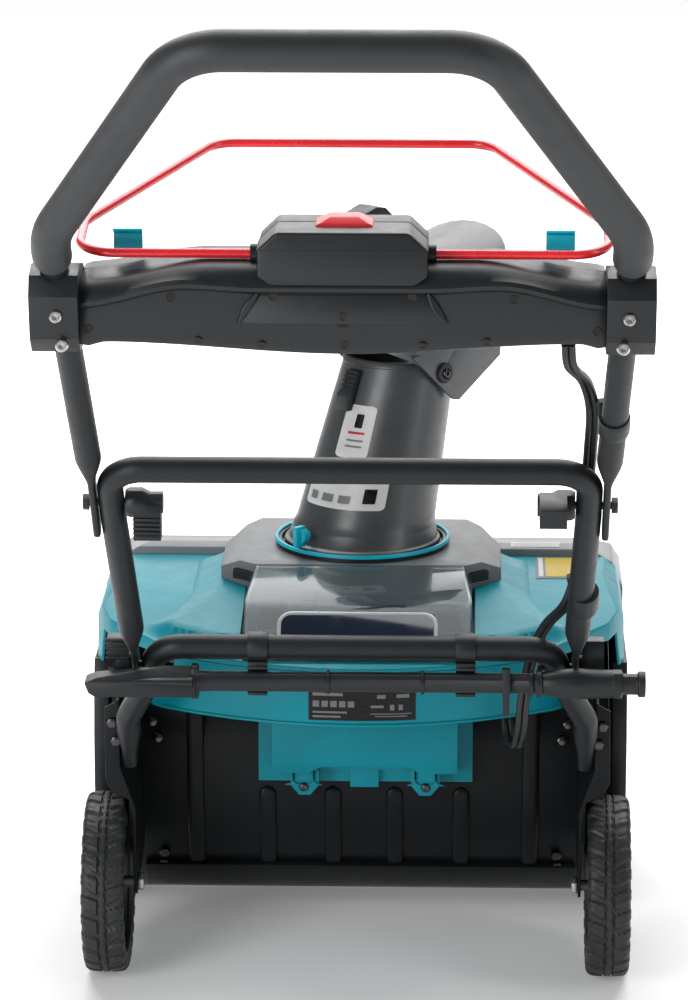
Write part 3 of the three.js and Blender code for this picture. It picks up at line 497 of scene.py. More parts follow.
def upper_handle():
    corners = mirrored_path([(on_handle(-245.9, -52), 0), (on_handle(-245.9, 52), 60),
                             (on_handle(-258, 430), 90), (on_handle(-131, 690), 60)])
    line = spaced(bent(corners), 3)
    section = flat_ended(line, -42, 3.5, 11.5, 84, 122)
    mesh = swept(line, section, 32, ACROSS)
    piece("upper_handle_tube", mesh, TUBE_PAINT, "handle_upper", ["upper_handle"], 50)

    grip_corners = mirrored_path([(on_handle(-256.8, 392), 0), (on_handle(-258, 430), 90),
                                  (on_handle(-131, 690), 60)])
    grip_line = spaced(bent(grip_corners), 4)
    last = len(grip_line) - 1

    def grip(index):
        near_end = min(index, last - index)
        radius = GRIP_RADIUS - 2.4 * (1 - smooth_step(near_end, 0, 1.6))
        return radius, radius, 1

    mesh = swept(grip_line, grip, 48, ACROSS)
    sleeve = piece("foam_grip_sleeve", mesh, FOAM, "handle_upper", ["foam_grip"], 50)


def lower_frame():
    corners = mirrored_path([(at(-237, -4, 233), 0), (at(-236, -40, 288), 25), (at(-206, -86, 349), 40),
                             (at(-203, -113, 385), 30)])
    line = spaced(bent(corners), 3)
    last = len(line) - 1

    def section(index):
        roundness = smooth_step(min(index, last - index) * 3, 14, 44)
        wide = 8.2 + (TUBE_RADIUS - 8.2) * roundness
        deep = 14.5 + (TUBE_RADIUS - 14.5) * roundness
        return wide, deep, 0.6 + 0.4 * roundness

    mesh = swept(line, section, 32, ACROSS)
    piece("lower_frame_tube", mesh, TUBE_PAINT, "machine", ["lower_frame"], 50)


def bail():
    away = Vector((0, math.cos(BAIL_REST), math.sin(BAIL_REST)))

    def spot(x, reach):
        return at(x, *BAIL_PIVOT) + away * reach * MM

    corners = mirrored_path([(spot(-70, 0), 0), (spot(-238, 0), 34), (spot(-238, 82), 60),
                             (spot(-131, 307), 32)])
    line = spaced(bent(corners), 4)
    mesh = swept(line, lambda index: (BAIL_RADIUS, BAIL_RADIUS, 1), 20)
    piece("bail_rod", mesh, RED, "bail_lever", ["bail"], 60)
    for side, sign in SIDES:
        ring = [(4.6, 0), (8.4, 0), (9, 0.6), (9, 7.4), (8.4, 8), (4.6, 8)]
        place = facing(at(sign * 75.2, *BAIL_PIVOT), (sign, 0, 0))
        bush = turned(ring, place, 40, closed=True)
        black(f"bail_bush_{side}", bush, "handle_upper")


middle_frame()
upper_handle()
lower_frame()
bail()

# ---------- fasteners ----------


def bolt(name, place, direction, radius, body, height=None, finish_used=None, socket=True):
    """A pan head with a hexagon socket, or a hexagon head."""
    height = height or radius * 0.75
    matrix = facing(place, direction)
    if socket:
        profile = [(radius, -0.5), (radius, height * 0.45), (radius * 0.9, height * 0.8),
                   (radius * 0.72, height), (radius * 0.46, height), (radius * 0.44, height * 0.35),
                   (0, height * 0.3)]
        mesh = turned(profile, matrix, 18)
    else:
        outline = [(radius * math.cos(math.radians(60 * part)), radius * math.sin(math.radians(60 * part)))
                   for part in range(6)]
        mesh = plate(outline, matrix, height, radius * 0.12)
    piece(name, mesh, finish_used or ZINC, body, smooth=40)


def recessed_screw(name, place, direction, radius, body):
    """A raised lip round a screw hole, with a deep black disc inside it that is painted shade for the hole.
    """
    matrix = facing(place, direction)
    lip = [(radius * 0.78, -1.2), (radius * 0.8, 0.25), (radius * 0.9, 0.5), (radius, 0.1), (radius, -1.2)]
    black(name + "_lip", turned(lip, matrix, 28, closed=True), body)
    # The deep black disc inside the lip is painted shade for the dark inside of the screw hole.
    painted_shade_disc = [(radius * 0.79, -1), (radius * 0.78, 0.06), (radius * 0.3, 0.02), (0, 0)]
    piece(name + "_well", turned(painted_shade_disc, matrix, 28), DEEP_BLACK, body)


# ---------- control housing ----------

DASH_HALF = 234.8
DASH_SEAM = -512


def dash_levels(x):
    """Heights of the housing's lower edge, band border and top at a place across it."""
    reach = abs(x)
    low = 783 + 10 * smooth_step(reach, 0, 212) - 5 * smooth_step(reach, 212, 235)
    border = 842 + 3 * smooth_step(reach, 75, 140) - 17 * smooth_step(reach, 140, 235)
    top = 871 - 15 * smooth_step(reach, 118, 238)
    return low, border, top


def dash_shell(name, half_outline, node):
    """One half of the housing, carried across the machine through sections."""
    rows = []
    count = 70
    for part in range(count + 1):
        x = DASH_HALF * (2 * part / count - 1)
        inset = 2.5 * (1 - smooth_step(min(part, count - part), 0, 1.2))
        outline = half_outline(*dash_levels(x))
        middle_y = sum(y for y, _ in outline) / len(outline)
        middle_z = sum(z for _, z in outline) / len(outline)
        row = []
        for y, z in outline:
            pull = inset / max(math.hypot(y - middle_y, z - middle_z), 1)
            row.append(at(x, y + (middle_y - y) * pull, z + (middle_z - z) * pull))
        rows.append(row)
    return piece(name, to_mesh(skin(rows)), BLACK_PLASTIC, "handle_upper", [node], 28)


def rear_half(low, border, top):
    return [(DASH_SEAM - 0.3, low), (-542, low), (-549, low + 2), (-554, low + 8), (-556.5, low + 18),
            (-558, border - 8), (-558, border - 1.5), (-560.5, border), (-563, border + 1.5),
            (-563.6, border + 5), (-562, border + 9), (-556, top - 12), (-551, top - 8), (-544, top - 5.5),
            (-532, top - 4), (DASH_SEAM - 0.3, top - 1.5)]


def front_half(low, border, top):
    return [(DASH_SEAM + 0.3, top - 1.5), (-486, top - 0.5), (-474, top - 3), (-465, top - 8),
            (-458, top - 18), (-455, border - 8), (-455, low + 22), (-459, low + 8), (-468, low + 1),
            (DASH_SEAM + 0.3, low)]


def upright(x, y, z, way=-1):
    """Local X across, local Y up and local Z to the rear, or forward where way is 1."""
    turned_up = Matrix(((1, 0, 0, 0), (0, 0, way, 0), (0, 1, 0, 0), (0, 0, 0, 1)))
    return Matrix.Translation(at(x, y, z)) @ turned_up


def hump():
    """The raised middle that holds the start button, split along the seam like the housing."""
    outline = [(-64, 850), (-76, 858), (-76, 882), (-59, 898), (59, 898), (76, 882), (76, 858), (64, 850)]
    for name, start, depth in (("hump_rear", -567, 54.7), ("hump_front", -511.8, 36)):
        black(name, plate(outline, upright(0, start, 0, 1), depth, 2.6, 4), "handle_upper", 40)
    belt = [(-76.4, 881.4), (76.4, 881.4), (76.4, 882.4), (-76.4, 882.4)]
    line = plate(belt, upright(0, -567.3, 0, 1), 54, 0.3)
    piece("hump_line", line, DEEP_BLACK, "handle_upper")


def dash_details(shell):
    panel = [(-75, 24), (-91, -1), (-88, -3), (88, -3), (93, -1), (77, 24)]
    raised = plate(panel, upright(0, -557.2, 816), 1.9, 0.8)
    black("dash_panel", raised, "handle_upper")
    for side, sign in SIDES:
        ridge = spaced([at(sign * 76, -560.5, 842), at(sign * 93, -558.6, 814)], 3)
        last = len(ridge) - 1
        mesh = swept(ridge,
                     lambda index: (4.5 * math.sin(math.pi * (index + 0.6) / (last + 1.2)) + 0.3, 2.2, 1), 16)
        black(f"dash_ridge_{side}", mesh, "handle_upper")
    wells = [(153, 837), (227, 808), (129, 797), (62, 839), (72, 793.5)]
    spots = [(sign * x, z) for x, z in wells for _, sign in SIDES] + [(1, 821), (2, 794)]
    base = surface(shell)
    for index, (x, z) in enumerate(spots):
        place, normal = onto(base, at(x, -620, z), FORWARD, 0.1)
        if abs(x) < 95 and 812 < z < 842:
            place = at(x, -559.2, z)
        recessed_screw(f"dash_screw_{index}", place, normal, 4.3, "handle_upper")
    # A deep black plate in the raised panel: painted shade standing for the dark inside of a slot.
    slot = plate(rectangle(10, 3, 1.4), upright(0, -559, 812), 0.5, 0.2)
    piece("dash_slot_painted_shade", slot, DEEP_BLACK, "handle_upper")
    for side, sign in SIDES:
        for index, (x, y, z) in enumerate([(255, -570.6, 822), (250, -567.4, 795)]):
            bolt(f"cap_bolt_{side}_{index}", at(sign * x, y, z), (0, -1, 0.1), 6.2, "handle_upper", 5)


dash_rear = dash_shell("dash_rear_finished", rear_half, "dash_rear_shell")
dash_shell("dash_front_finished", front_half, "dash_front_shell")
hump()
dash_details(dash_rear.data)

# ---------- wheels ----------

TREAD_PITCHES = 26
TREAD_PROFILE = [(17, 72), (20.2, 74), (21.4, 78), (21.8, 82), (21.8, 85.5), (21.2, 88), (19.8, 90),
                 (18.4, 91), (17, 91.5), (15.5, 91.8), (14, 92), (12.5, 92.2), (11, 92.3), (9.5, 92.4),
                 (8, 92.4)]
TREAD_PROFILE += [(across, 92.5) for across in (6.8, 5.6, 4.6, 3.8, 3, 1.5, 0)]


def tread_height(across, angle):
    """How far the tread stands out at a place across the tyre and round it."""
    reach = abs(across)
    turn = angle * TREAD_PITCHES / (2 * math.pi)
    if reach < 4.2:
        zigzag = 0.5 * math.cos(turn * 4 * math.pi)
        return 2.3 * (1 - smooth_step(reach, 2.6 + zigzag, 3.6 + zigzag))
    if across < 0:
        turn += 0.5
    turn += 0.02 * reach
    phase = turn % 1
    half = 0.37 - 0.006 * reach
    lug = 1 - smooth_step(abs(phase - 0.5), half, half + 0.05)
    sipe = 1 - 0.35 * (1 - smooth_step(abs(phase - 0.5), 0.02, 0.05)) * smooth_step(reach, 8, 9)
    inner = smooth_step(reach, 4.4, 5.4)
    return 2.3 * lug * inner * sipe


def tyre(side, sign):
    profile = [(-x, r) for x, r in TREAD_PROFILE] + [(x, r) for x, r in reversed(TREAD_PROFILE[:-1])]
    count = TREAD_PITCHES * 14
    centre = at(sign * WHEEL_X, 0, WHEEL_RADIUS)
    rows = []
    for part in range(count):
        angle = 2 * math.pi * part / count
        row = []
        for across, radius in profile:
            rise = tread_height(across, angle) if radius > 81 else 0
            out = radius + rise * smooth_step(radius, 82, 89)
            side_step = math.copysign(rise * 0.3 * (1 - smooth_step(radius, 86, 90)), across)
            spot = Vector((across + side_step, out * math.cos(angle), out * math.sin(angle)))
            row.append(centre + spot * MM)
        rows.append(row)
    mesh = to_mesh(skin(rows, closed=True))
    piece(f"tyre_{side}_tread", mesh, TYRE, f"wheel_{side}", [f"tyre_{side}"], 32)


for wheel_side, wheel_sign in SIDES:
    tyre(wheel_side, wheel_sign)

# ---------- auger housing ----------


def drum_rib(index, x, start, end):
    """A rounded rib pressed out of the drum's rear wall, following its curve."""
    line = []
    steps = 44
    for part in range(steps + 1):
        run = start + (end - start) * part / steps
        if run > AUGER[1]:
            line.append(at(x, BACK_Y - 0.6, run))
        else:
            angle = math.pi + (AUGER[1] - run) / DRUM_RADIUS
            line.append(at(x, AUGER[0] + (DRUM_RADIUS + 0.6) * math.cos(angle),
                           AUGER[1] + (DRUM_RADIUS + 0.6) * math.sin(angle)))

    def section(step):
        near_end = min(step, steps - step) * abs(end - start) / steps
        size = math.sqrt(max(1 - (1 - min(near_end / 9, 1)) ** 2, 0.02))
        return 9 * size, 3.6 * size, 0.8

    name = f"drum_rib_{index}"
    piece(name, swept(line, section, 24, ACROSS), BLACK_STEEL, "machine", smooth=60)


for rib_index, rib_x in enumerate((-176, -99, -29, 37, 108, 182)):
    outer_rib = rib_index in (0, 5)
    drum_rib(rib_index, rib_x, 262 if outer_rib else 168, 62)

# ---------- chute ----------

CHUTE_FRAME = Matrix.Translation(at(0, CHUTE_Y, 0)) @ Matrix.Rotation(CHUTE_YAW, 4, "Z")


def chute_middle(z):
    """How far forward the chute's leaning middle has come at a height."""
    return CHUTE_LEAN * (z - CHUTE_FOOT)


def in_chute(x, y, z):
    return CHUTE_FRAME @ (Vector((x, y, z)) * MM)


def chute_radius(z):
    return 75 - 0.085 * (z - 436)


PIVOT_Y = chute_middle(PIVOT_Z)


def chute_tube():
    outer = [(0, 412.8, 83), (0, 413.6, 83.5), (0, 418.4, 83.5), (0.2, 419.6, 82.6), (0.6, 420.4, 80.4),
             (1, 422, 79.2), (3, 434, 77), (3.4, 436, 76.4)]
    outer += [(chute_middle(z), z, chute_radius(z)) for z in range(440, 606, 6)]
    outer += [(chute_middle(z), z, chute_radius(z) + bead) for z, bead in
              ((606, 0), (607, 1.2), (612, 1.2), (613, 0.4))]
    inner = [(chute_middle(z), z, chute_radius(z) - 3) for z in (613, 600, 560, 520, 480, 440)]
    inner += [(1, 424, 73), (0, 412.8, 73)]
    sides = 96
    turns = [2 * math.pi * part / sides for part in range(sides)]
    rows = [[in_chute(radius * math.cos(turn), y + radius * math.sin(turn), z) for turn in turns]
            for y, z, radius in outer + inner]
    tube = piece("chute_tube_finished", to_mesh(skin(rows, closed=True)), CHUTE_PLASTIC, "chute",
                 ["chute_tube"], 40)
    for side, sign in SIDES:
        axis = CHUTE_FRAME.to_3x3() @ Vector((sign, 0, 0))
        boss = [(0, 0), (12, 0), (12, 4.6), (11.2, 5.6), (8.6, 6), (8.2, 4.8), (0, 4.6)]
        name = f"chute_boss_{side}"
        mesh = turned(boss, facing(in_chute(sign * 60.5, PIVOT_Y, PIVOT_Z), axis), 40)
        piece(name, mesh, CHUTE_PLASTIC, "chute")
        cap = [(11, -0.4), (11, 2.6), (9.8, 3.8), (6.4, 4), (6, 3), (0, 2.8)]
        name = f"hood_boss_{side}"
        mesh = turned(cap, facing(in_chute(sign * 69.6, PIVOT_Y, PIVOT_Z), axis), 40)
        black(name, mesh, "deflector")
        place = in_chute(sign * 72.4, PIVOT_Y, PIVOT_Z)
        bolt(f"hood_bolt_{side}", place, axis, 5, "deflector", 3.4, BLACK_ZINC)
    return tube


chute_surface = chute_tube()

# ---------- cables ----------


def through(points, gap):
    """A smooth line through the given points."""
    line = []
    padded = [points[0] * 2 - points[1]] + points + [points[-1] * 2 - points[-2]]
    for before, first, second, after in zip(padded, padded[1:], padded[2:], padded[3:]):
        count = max(2, round((second - first).length / (gap * MM)))
        for part in range(count):
            t = part / count
            line.append(0.5 * (2 * first + (second - before) * t
                               + (2 * before - 5 * first + 4 * second - after) * t * t
                               + (3 * first - 3 * second + after - before) * t ** 3))
    return line + [points[-1]]


UPPER_ROUTE = [at(203, -488, 781), at(206, -470, 757), on_handle(221, 180, 19), on_handle(229, 130, 22),
               on_handle(229, 60, 25), on_handle(228, 0, 25), on_handle(228, -60, 23),
               on_handle(226, -120, 21), on_handle(222, -160, 21)]
LOWER_ROUTE = [on_handle(222, -160, 21), at(212, -150, 443), at(194, -86, 403), at(181, -60, 366),
               at(172, -64, 320), at(169, -60, 285), at(165, -44, 262), at(158, -22, 264), at(154, -6, 290)]


def cables():
    for index, step in ((0, -3.2), (1, 3.2)):
        shift = Vector((step * MM, 0, 0))
        for part, route in (("upper", UPPER_ROUTE), ("lower", LOWER_ROUTE)):
            line = through([point + shift for point in route], 5)
            name = f"cable_{part}_{index}"
            mesh = swept(line, lambda _: (3.3, 3.3, 1), 14)
            made = piece(name, mesh, CABLE, None,
                         [f"cable_pair_{part}"] if index == 0 else [], 60)
            if part == "upper":
                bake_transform(made)
            else:
                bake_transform(made)


cables()

# ---------- pieces whose CAD shape only needs rounded edges ----------

# Where a name holds a star, the left and the right piece are both meant.
ROUNDED = {
    "drum_shell": 0.6, "side_wall_*": 0.5, "side_cover_*": 1.6, "scraper_blade": 0.4, "rear_bar": 0.5,
    "wheel_bracket_*": 0.5, "top_shroud": 3.0, "rear_skirt": 1.0, "front_band": 2.5, "hub_cover": 2.0,
    "battery_bay": 0.8, "battery": 2.0, "battery_lid": 1.0, "rear_cover": 2.0, "lock_button": 1.5,
    "end_cap_*": 2.5, "dash_hook_*": 0.6, "upper_knob_*": 1.0, "lower_knob_*": 1.0, "chute_rack": 0.5,
    "chute_lock_knob": 0.8, "deflector_hood": 0.6, "deflector_handle": 1.5, "deflector_trigger": 0.8,
    "clean_out_tool": 0.8, "tool_clip_*": 0.6, "wheel_hub_*": 1.0, "axle_bolt_*": 0.8, "auger_shaft": 0.5,
    "auger_paddle_a": 1.0, "auger_paddle_b": 1.0, "controller": 1.5, "motor": 0.8, "auger_pulley": 0.3,
    "motor_pulley": 0.3, "drive_belt": 0.4,
}
OTHER_FINISH = {"front_band": BAND_PLASTIC}
for node_name, edge_radius in ROUNDED.items():
    for node_side in ("left", "right") if "*" in node_name else ("",):
        rounded(node_name.replace("*", node_side), edge_radius)

# ---------- top cover ----------

# The crease where the scoop beside each ridge begins: distance from the middle, distance from the axle.
CREASE = [(172.7, 275), (172.7, 200), (173.4, 140), (177, 118), (184, 96), (196, 68), (214, 46), (232, 36),
          (250, 30)]
RIDGE_INNER = 121.5
RIDGE_FACET = 156


def crease_gap(x, y):
    """How far outside the crease a place lies; below zero on the ridge."""
    gaps = []
    for (x0, y0), (x1, y1) in zip(CREASE, CREASE[1:]):
        run = Vector((x1 - x0, y1 - y0))
        part = min(max((Vector((x, y)) - Vector((x0, y0))).dot(run) / run.length_squared, 0), 1)
        away = Vector((x, y)) - Vector((x0, y0)) - run * part
        side = run.x * away.y - run.y * away.x
        gaps.append(math.copysign(away.length, side))
    return min(gaps, key=abs)


def ridge_lift(x, y):
    """How far the ridge stands above the plain cover."""
    gap = crease_gap(x, y)
    if gap > 0:
        return 4.5 - 5.3 * smooth_step(gap, 0, 8)
    inner = min(max((x - RIDGE_INNER) / (RIDGE_FACET - RIDGE_INNER), 0), 1)
    climb = min(-gap / 24, 1)
    return 4.5 + 10 * climb + 1.5 * (1 - inner) * climb


def flat_spot(base, place):
    """Where the line down from a place meets the top of a surface, if it isn't steep there."""
    spot, normal = onto(base, place, DOWN)
    return spot if spot and normal.z > 0.55 else None


def cells_to_edge(spots, down, over):
    """How many cells of the grid lie between a place in it and the nearest one that has no spot."""
    for reach in range(1, 6):
        lines = spots[max(0, down - reach):down + reach + 1]
        if any(None in line[max(0, over - reach):over + reach + 1] for line in lines):
            return reach
    return 6


def top_ridges():
    """The raised skin of the top cover, on each side; it sinks into the cover at its own edges."""
    base = surface(frame["nodes"]["top_shroud"].data)
    for side, sign in SIDES:
        places = [[(RIDGE_INNER + over * 3.9, 289 - 4.2 * down) for over in range(33)] for down in range(78)]
        spots = [[flat_spot(base, at(sign * x, y, 500)) for x, y in row] for row in places]
        rows = []
        for down, line in enumerate(spots):
            row = []
            for over, spot in enumerate(line):
                if spot is None:
                    row.append(None)
                    continue
                x, y = places[down][over]
                fade = (1 - smooth_step(y, 236, 288)) * smooth_step(y, -34, -6)
                fade *= smooth_step(cells_to_edge(spots, down, over), 1, 5)
                row.append(spot + UP * (-0.8 + (ridge_lift(x, y) + 0.8) * fade) * MM)
            rows.append(row)
        work, rows = sheet(rows)
        wall = [row[0] for row in rows if row[0]]
        foot = [work.verts.new(vertex.co + DOWN * 16 * MM) for vertex in wall]
        for index in range(len(wall) - 1):
            work.faces.new((wall[index], wall[index + 1], foot[index + 1], foot[index]))
        loose = [vertex for vertex in work.verts if not vertex.link_faces]
        bmesh.ops.delete(work, geom=loose, context="VERTS")
        piece(f"top_ridge_{side}", to_mesh(work), TEAL, "machine", smooth=22)


def skirt_lip():
    """The thin rolled lip along the lower edge of the rear skirt."""
    vertices = [vertex.co for vertex in frame["nodes"]["rear_skirt"].data.vertices]
    lowest = min(spot.z for spot in vertices)
    base = surface(frame["nodes"]["rear_skirt"].data)
    line = []
    for step in range(-25, 26):
        x = step * 8.4
        place = at(x, -250, 0)
        place.z = lowest + 2 * MM
        spot, _ = onto(base, place, FORWARD)
        if spot:
            line.append(spot)
    piece("skirt_lip", swept(line, lambda _: (1.7, 1.7, 1), 12), TEAL, "machine")


def hub_vents():
    """The vents at the rear corners of the hub cover: a grey frame, a deep black plate whose black is painted
    shade for the dark inside of each vent, and black slats, all laid on the face.
    """
    for side, sign in SIDES:
        way = Vector((sign * 0.65, -0.76, 0)).normalized()
        across = Vector((-way.y, way.x, 0))
        matrix = Matrix((across, UP, way)).transposed().to_4x4()
        matrix.translation = at(sign * 122.6, 119.2, 398)
        border = [(-18, -8), (18, -8), (18, 5), (11, 8), (-11, 8), (-18, 5)]
        # The deep black plate inside the frame is painted shade for the vent's dark inside.
        painted_shade_outline = [(-16, -6.2), (16, -6.2), (16, 3.8), (10, 6.2), (-10, 6.2), (-16, 3.8)]
        layers = [(f"hub_vent_frame_{side}", border, 1.4, 0.6, GREY_PLASTIC),
                  (f"hub_vent_{side}", painted_shade_outline, 1.8, 0.3, DEEP_BLACK)]
        for index, height in enumerate((-3.8, -0.6, 2.6)):
            slat = [(-15, height - 0.5), (15, height - 0.5), (15, height + 0.5), (-15, height + 0.5)]
            layers.append((f"hub_slat_{side}_{index}", slat, 2.3, 0.3, BLACK_PLASTIC))
        for name, outline, depth, edge, colour in layers:
            piece(name, plate(outline, matrix, depth, edge), colour, "machine")


def chute_ring():
    """The chute's turning ring: a cyan rim outside a dark inner step, whose black is painted shadow under the
    rim.
    """
    place = Matrix.Translation(at(0, CHUTE_Y, 0))
    rim = [(90.5, 416.6), (94, 416.6), (94, 418.6), (93.2, 420.1), (91.3, 420.2), (90.5, 419.4)]
    piece("chute_ring_rim", turned(rim, place, 96, closed=True), CYAN, "machine",
          ["chute_ring"])
    # The step's black is painted shadow under the cyan rim.
    step = [(86.6, 412.4), (92.6, 412.4), (92.6, 416.5), (90.4, 416.5), (90.4, 417.8), (87, 417.8),
            (86.6, 417)]
    piece("chute_ring_shadow_step", turned(step, place, 96, closed=True), BLACK_PLASTIC, "machine")


def lid_window():
    """The smoked window in the lid's sloping rear face, and the raised rim round it, whose light grey is
    painted highlight for the glints on the clear rim.
    """
    low, high = LID_SLOPE
    down = (Vector(low) - Vector(high)).normalized()
    outward = Vector((0, -math.sin(LID_TILT), math.cos(LID_TILT)))
    half, corner, length, drop = 81, 14, 50, 5

    def on_face(x, along):
        return at(x, high[0] + down.x * along, high[1] + down.y * along) + outward * 0.3 * MM

    turn = [math.radians(15 * step) for step in range(7)]
    arch = [(half - corner + corner * math.cos(angle), drop + corner - corner * math.sin(angle))
            for angle in turn]
    outline = [(half, length)] + arch + [(-x, along) for x, along in reversed(arch)] + [(-half, length)]
    line = [on_face(x, along) for x, along in outline]
    rim = swept(line, lambda _: (1.1, 2.3, 1), 14, outward)
    piece("lid_window_rim", rim, LID_RIM_HIGHLIGHT, "lid", smooth=60)
    middle = on_face(0, (drop + length) / 2)
    place = Matrix.Translation(middle) @ Matrix.Rotation(LID_TILT, 4, "X")
    pane = plate(rectangle(2 * half - 2, length - drop - 1, 3), place, 0.5, 0.2)
    piece("lid_window_pane", pane, SMOKED, "lid")


def blade_root():
    """The block that ends the clean-out tool's blade."""
    line = [at(x, TOOL[0], TOOL[1]) for x in (-165, -163.5, -158.5, -157)]
    grow = (0.9, 1, 1, 0.9)
    mesh = swept(line, lambda index: (8.6 * grow[index], 17.5 * grow[index], 0.35), 36, FORWARD)
    black("blade_root", mesh, "tool")


def blade_ridge():
    """The raised spine along the clean-out tool's blade."""
    line = [at(x, TOOL[0] - 8.4, TOOL[1] + 2) for x in range(-240, -162, 7)]
    last = len(line) - 1
    mesh = swept(line, lambda index: (2.4 + 3.6 * index / last, 6 + 5 * index / last, 1), 20, UP)
    black("blade_ridge", mesh, "tool", 60)


top_ridges()
skirt_lip()
hub_vents()
chute_ring()
blade_ridge()
blade_root()
lid_window()

# ---------- plates and stickers, all of them blank or generic ----------


def bars(name, base, corners, direction, places, finish_used, body, lift):
    """Plain bars on a sticker; each place is (left, right, top, bottom) from 0 to 1."""
    for index, place in enumerate(places):
        inner = inside_corners(corners, *place)
        sticker(f"{name}_{index}", base, inner, direction, finish_used, body, lift)


def rating_plate():
    base = surface(frame["nodes"]["rear_skirt"].data)
    corners = [at(x, -150, z) for x, z in ((-49, 325), (61, 325), (61, 292), (-49, 292))]
    sticker("rating_plate", base, corners, FORWARD, RATING_BLACK, "machine", 0.4)
    icons = [(0.04 + 0.082 * index, 0.10 + 0.082 * index, 0.36, 0.56) for index in range(5)]
    icons += [(0.76, 0.80, 0.48, 0.66), (0.84, 0.88, 0.48, 0.66)]
    lines = [(0.04, 0.36, 0.70, 0.76), (0.04, 0.30, 0.84, 0.90), (0.58, 0.96, 0.76, 0.79),
             (0.62, 0.92, 0.84, 0.87), (0.58, 0.70, 0.50, 0.58), (0.04, 0.32, 0.10, 0.20),
             (0.64, 0.72, 0.16, 0.28), (0.82, 0.94, 0.14, 0.26)]
    bars("rating_mark", base, corners, FORWARD, icons + lines, LABEL_GREY, "machine", 0.7)


def top_stickers():
    base = surface(frame["nodes"]["top_shroud"].data)
    corners = [at(x, y, 480) for x, y in ((187, 284), (250, 284), (250, 188), (187, 188))]
    for name, left, right, top, bottom, colour, lift in (
            ("cover_sticker", 0, 1, 0, 1, LABEL_GREY, 0.5),
            ("cover_sticker_white", 0.05, 0.13, 0.06, 0.94, LABEL_WHITE, 0.8),
            ("cover_sticker_yellow", 0.17, 0.95, 0.06, 0.94, LABEL_YELLOW, 0.8)):
        inner = inside_corners(corners, left, right, top, bottom)
        sticker(name, base, inner, DOWN, colour, "machine", lift)
    band = surface(frame["nodes"]["front_band"].data)
    corners = [at(x, y, 480) for x, y in ((161, 303), (214, 303), (214, 294), (161, 294))]
    sticker("band_strip", band, corners, DOWN, LABEL_WHITE, "machine", 0.4)


def chute_patch(name, base, place, finish_used, corner, lift):
    """A thin label round the chute; place is (first, last) degrees about it and (top, bottom) heights."""
    first, last, top, bottom = place
    rows_down = 30
    steps_over = 12
    rows = []
    for down in range(rows_down + 1):
        z = top + (bottom - top) * down / rows_down
        past = max(0, corner - min(top - z, z - bottom))
        inset = math.degrees((corner - math.sqrt(corner ** 2 - past ** 2)) / CHUTE_LABEL_RADIUS)
        middle = CHUTE_FRAME @ (Vector((0, chute_middle(z), z)) * MM)
        row = []
        for over in range(steps_over + 1):
            degrees = first + inset + (last - first - 2 * inset) * over / steps_over
            way = Vector((math.cos(math.radians(degrees)), math.sin(math.radians(degrees)), 0))
            row.append(onto(base, middle + way * 200 * MM, -way, lift)[0])
        rows.append(row)
    thin(name, rows, finish_used, "chute")


def chute_labels(tube):
    """Two white labels, each with a few plain bars and blocks."""
    base = surface(tube.data)
    labels = ((-135, -102, 568, 514), (-158, -77, 498, 462))
    for index, place in enumerate(labels):
        chute_patch(f"chute_label_{index}", base, place, LABEL_WHITE, 5, 0.35)
    marks = ((-121, -113, 559, 545, RATING_BLACK), (-126, -109, 541, 538.5, LABEL_RED),
             (-126, -109, 533, 531, LABEL_GREY), (-126, -109, 527, 525, LABEL_GREY),
             (-151, -142, 476, 468, LABEL_GREY), (-136, -124, 476, 468, LABEL_GREY),
             (-119, -108, 476, 468, LABEL_GREY), (-97, -86, 484, 469, RATING_BLACK))
    for index, (first, last, top, bottom, colour) in enumerate(marks):
        chute_patch(f"chute_mark_{index}", base, (first, last, top, bottom), colour, 0.6, 0.6)


rating_plate()
top_stickers()
chute_labels(chute_surface)

# ---------- knobs, tool, straps and clips ----------


def bar_across(name, place, width, height, depth, direction, body, finish_used=None):
    """A small rounded rib standing on a face."""
    mesh = plate(rectangle(width, height, height * 0.3), facing(place, direction), depth, height * 0.2)
    return piece(name, mesh, finish_used or BLACK_PLASTIC, body)


def knob_ribs():
    for level, (x, y, z), step, width in (("upper", (-195, -313.4, 569), 4.4, 26),
                                          ("lower", (-241, -106.6, 390), 4.8, 24)):
        for index in range(5):
            bar_across(f"{level}_knob_rib_{index}", at(x, y, z - step * index), width, 2.2, 1.5, REAR,
                       f"knob_{level}_left")


def tool_details():
    rings = ((-28, 12.6, 3), (67, 12.6, 3), (176, 13.4, 4), (183, 14.2, 6))
    for index, (x, radius, width) in enumerate(rings):
        ring = [(10, 0), (radius - 0.6, 0), (radius, 0.8), (radius, width - 0.8), (radius - 0.6, width),
                (10, width)]
        name = f"tool_ring_{index}"
        mesh = turned(ring, facing(at(x, *TOOL), ACROSS), 40, closed=True)
        black(name, mesh, "tool")
    loop = [(12.8, 0), (15.4, 0), (15.8, 0.6), (15.8, 7), (15.4, 7.6), (12.8, 7.6)]
    mesh = turned(loop, facing(at(149, *TOOL), ACROSS), 40, closed=True)
    black("tool_strap_loop", mesh, "tool")
    tail = plate(rectangle(7, 48, 1.2), upright(153, TOOL[0] - 13.4, TOOL[1] - 6), 2.2, 0.6)
    black("tool_strap_tail", tail, "tool")


def cable_clips():
    for name, distance, width, body in (("cable_clip_upper", 128, 24, "handle_upper"),
                                        ("cable_clip_lower", -186, 30, "handle_middle")):
        x = 248.5 if body == "handle_upper" else 228.5
        line = [on_handle(x, distance + width * part / 6) for part in range(7)]
        mesh = swept(line, lambda index: (14.6 if index in (0, 6) else 15.4,) * 2 + (1,), 32, ACROSS)
        black(name, mesh, body)
        ends = [on_handle(x - 9, distance + 3, 15), on_handle(x - 12, distance + width - 3, 20)]
        hook_line = spaced(ends, 2)
        mesh = swept(hook_line, lambda _: (5.5, 3.2, 0.7), 20, ACROSS)
        black(name + "_hook", mesh, body)


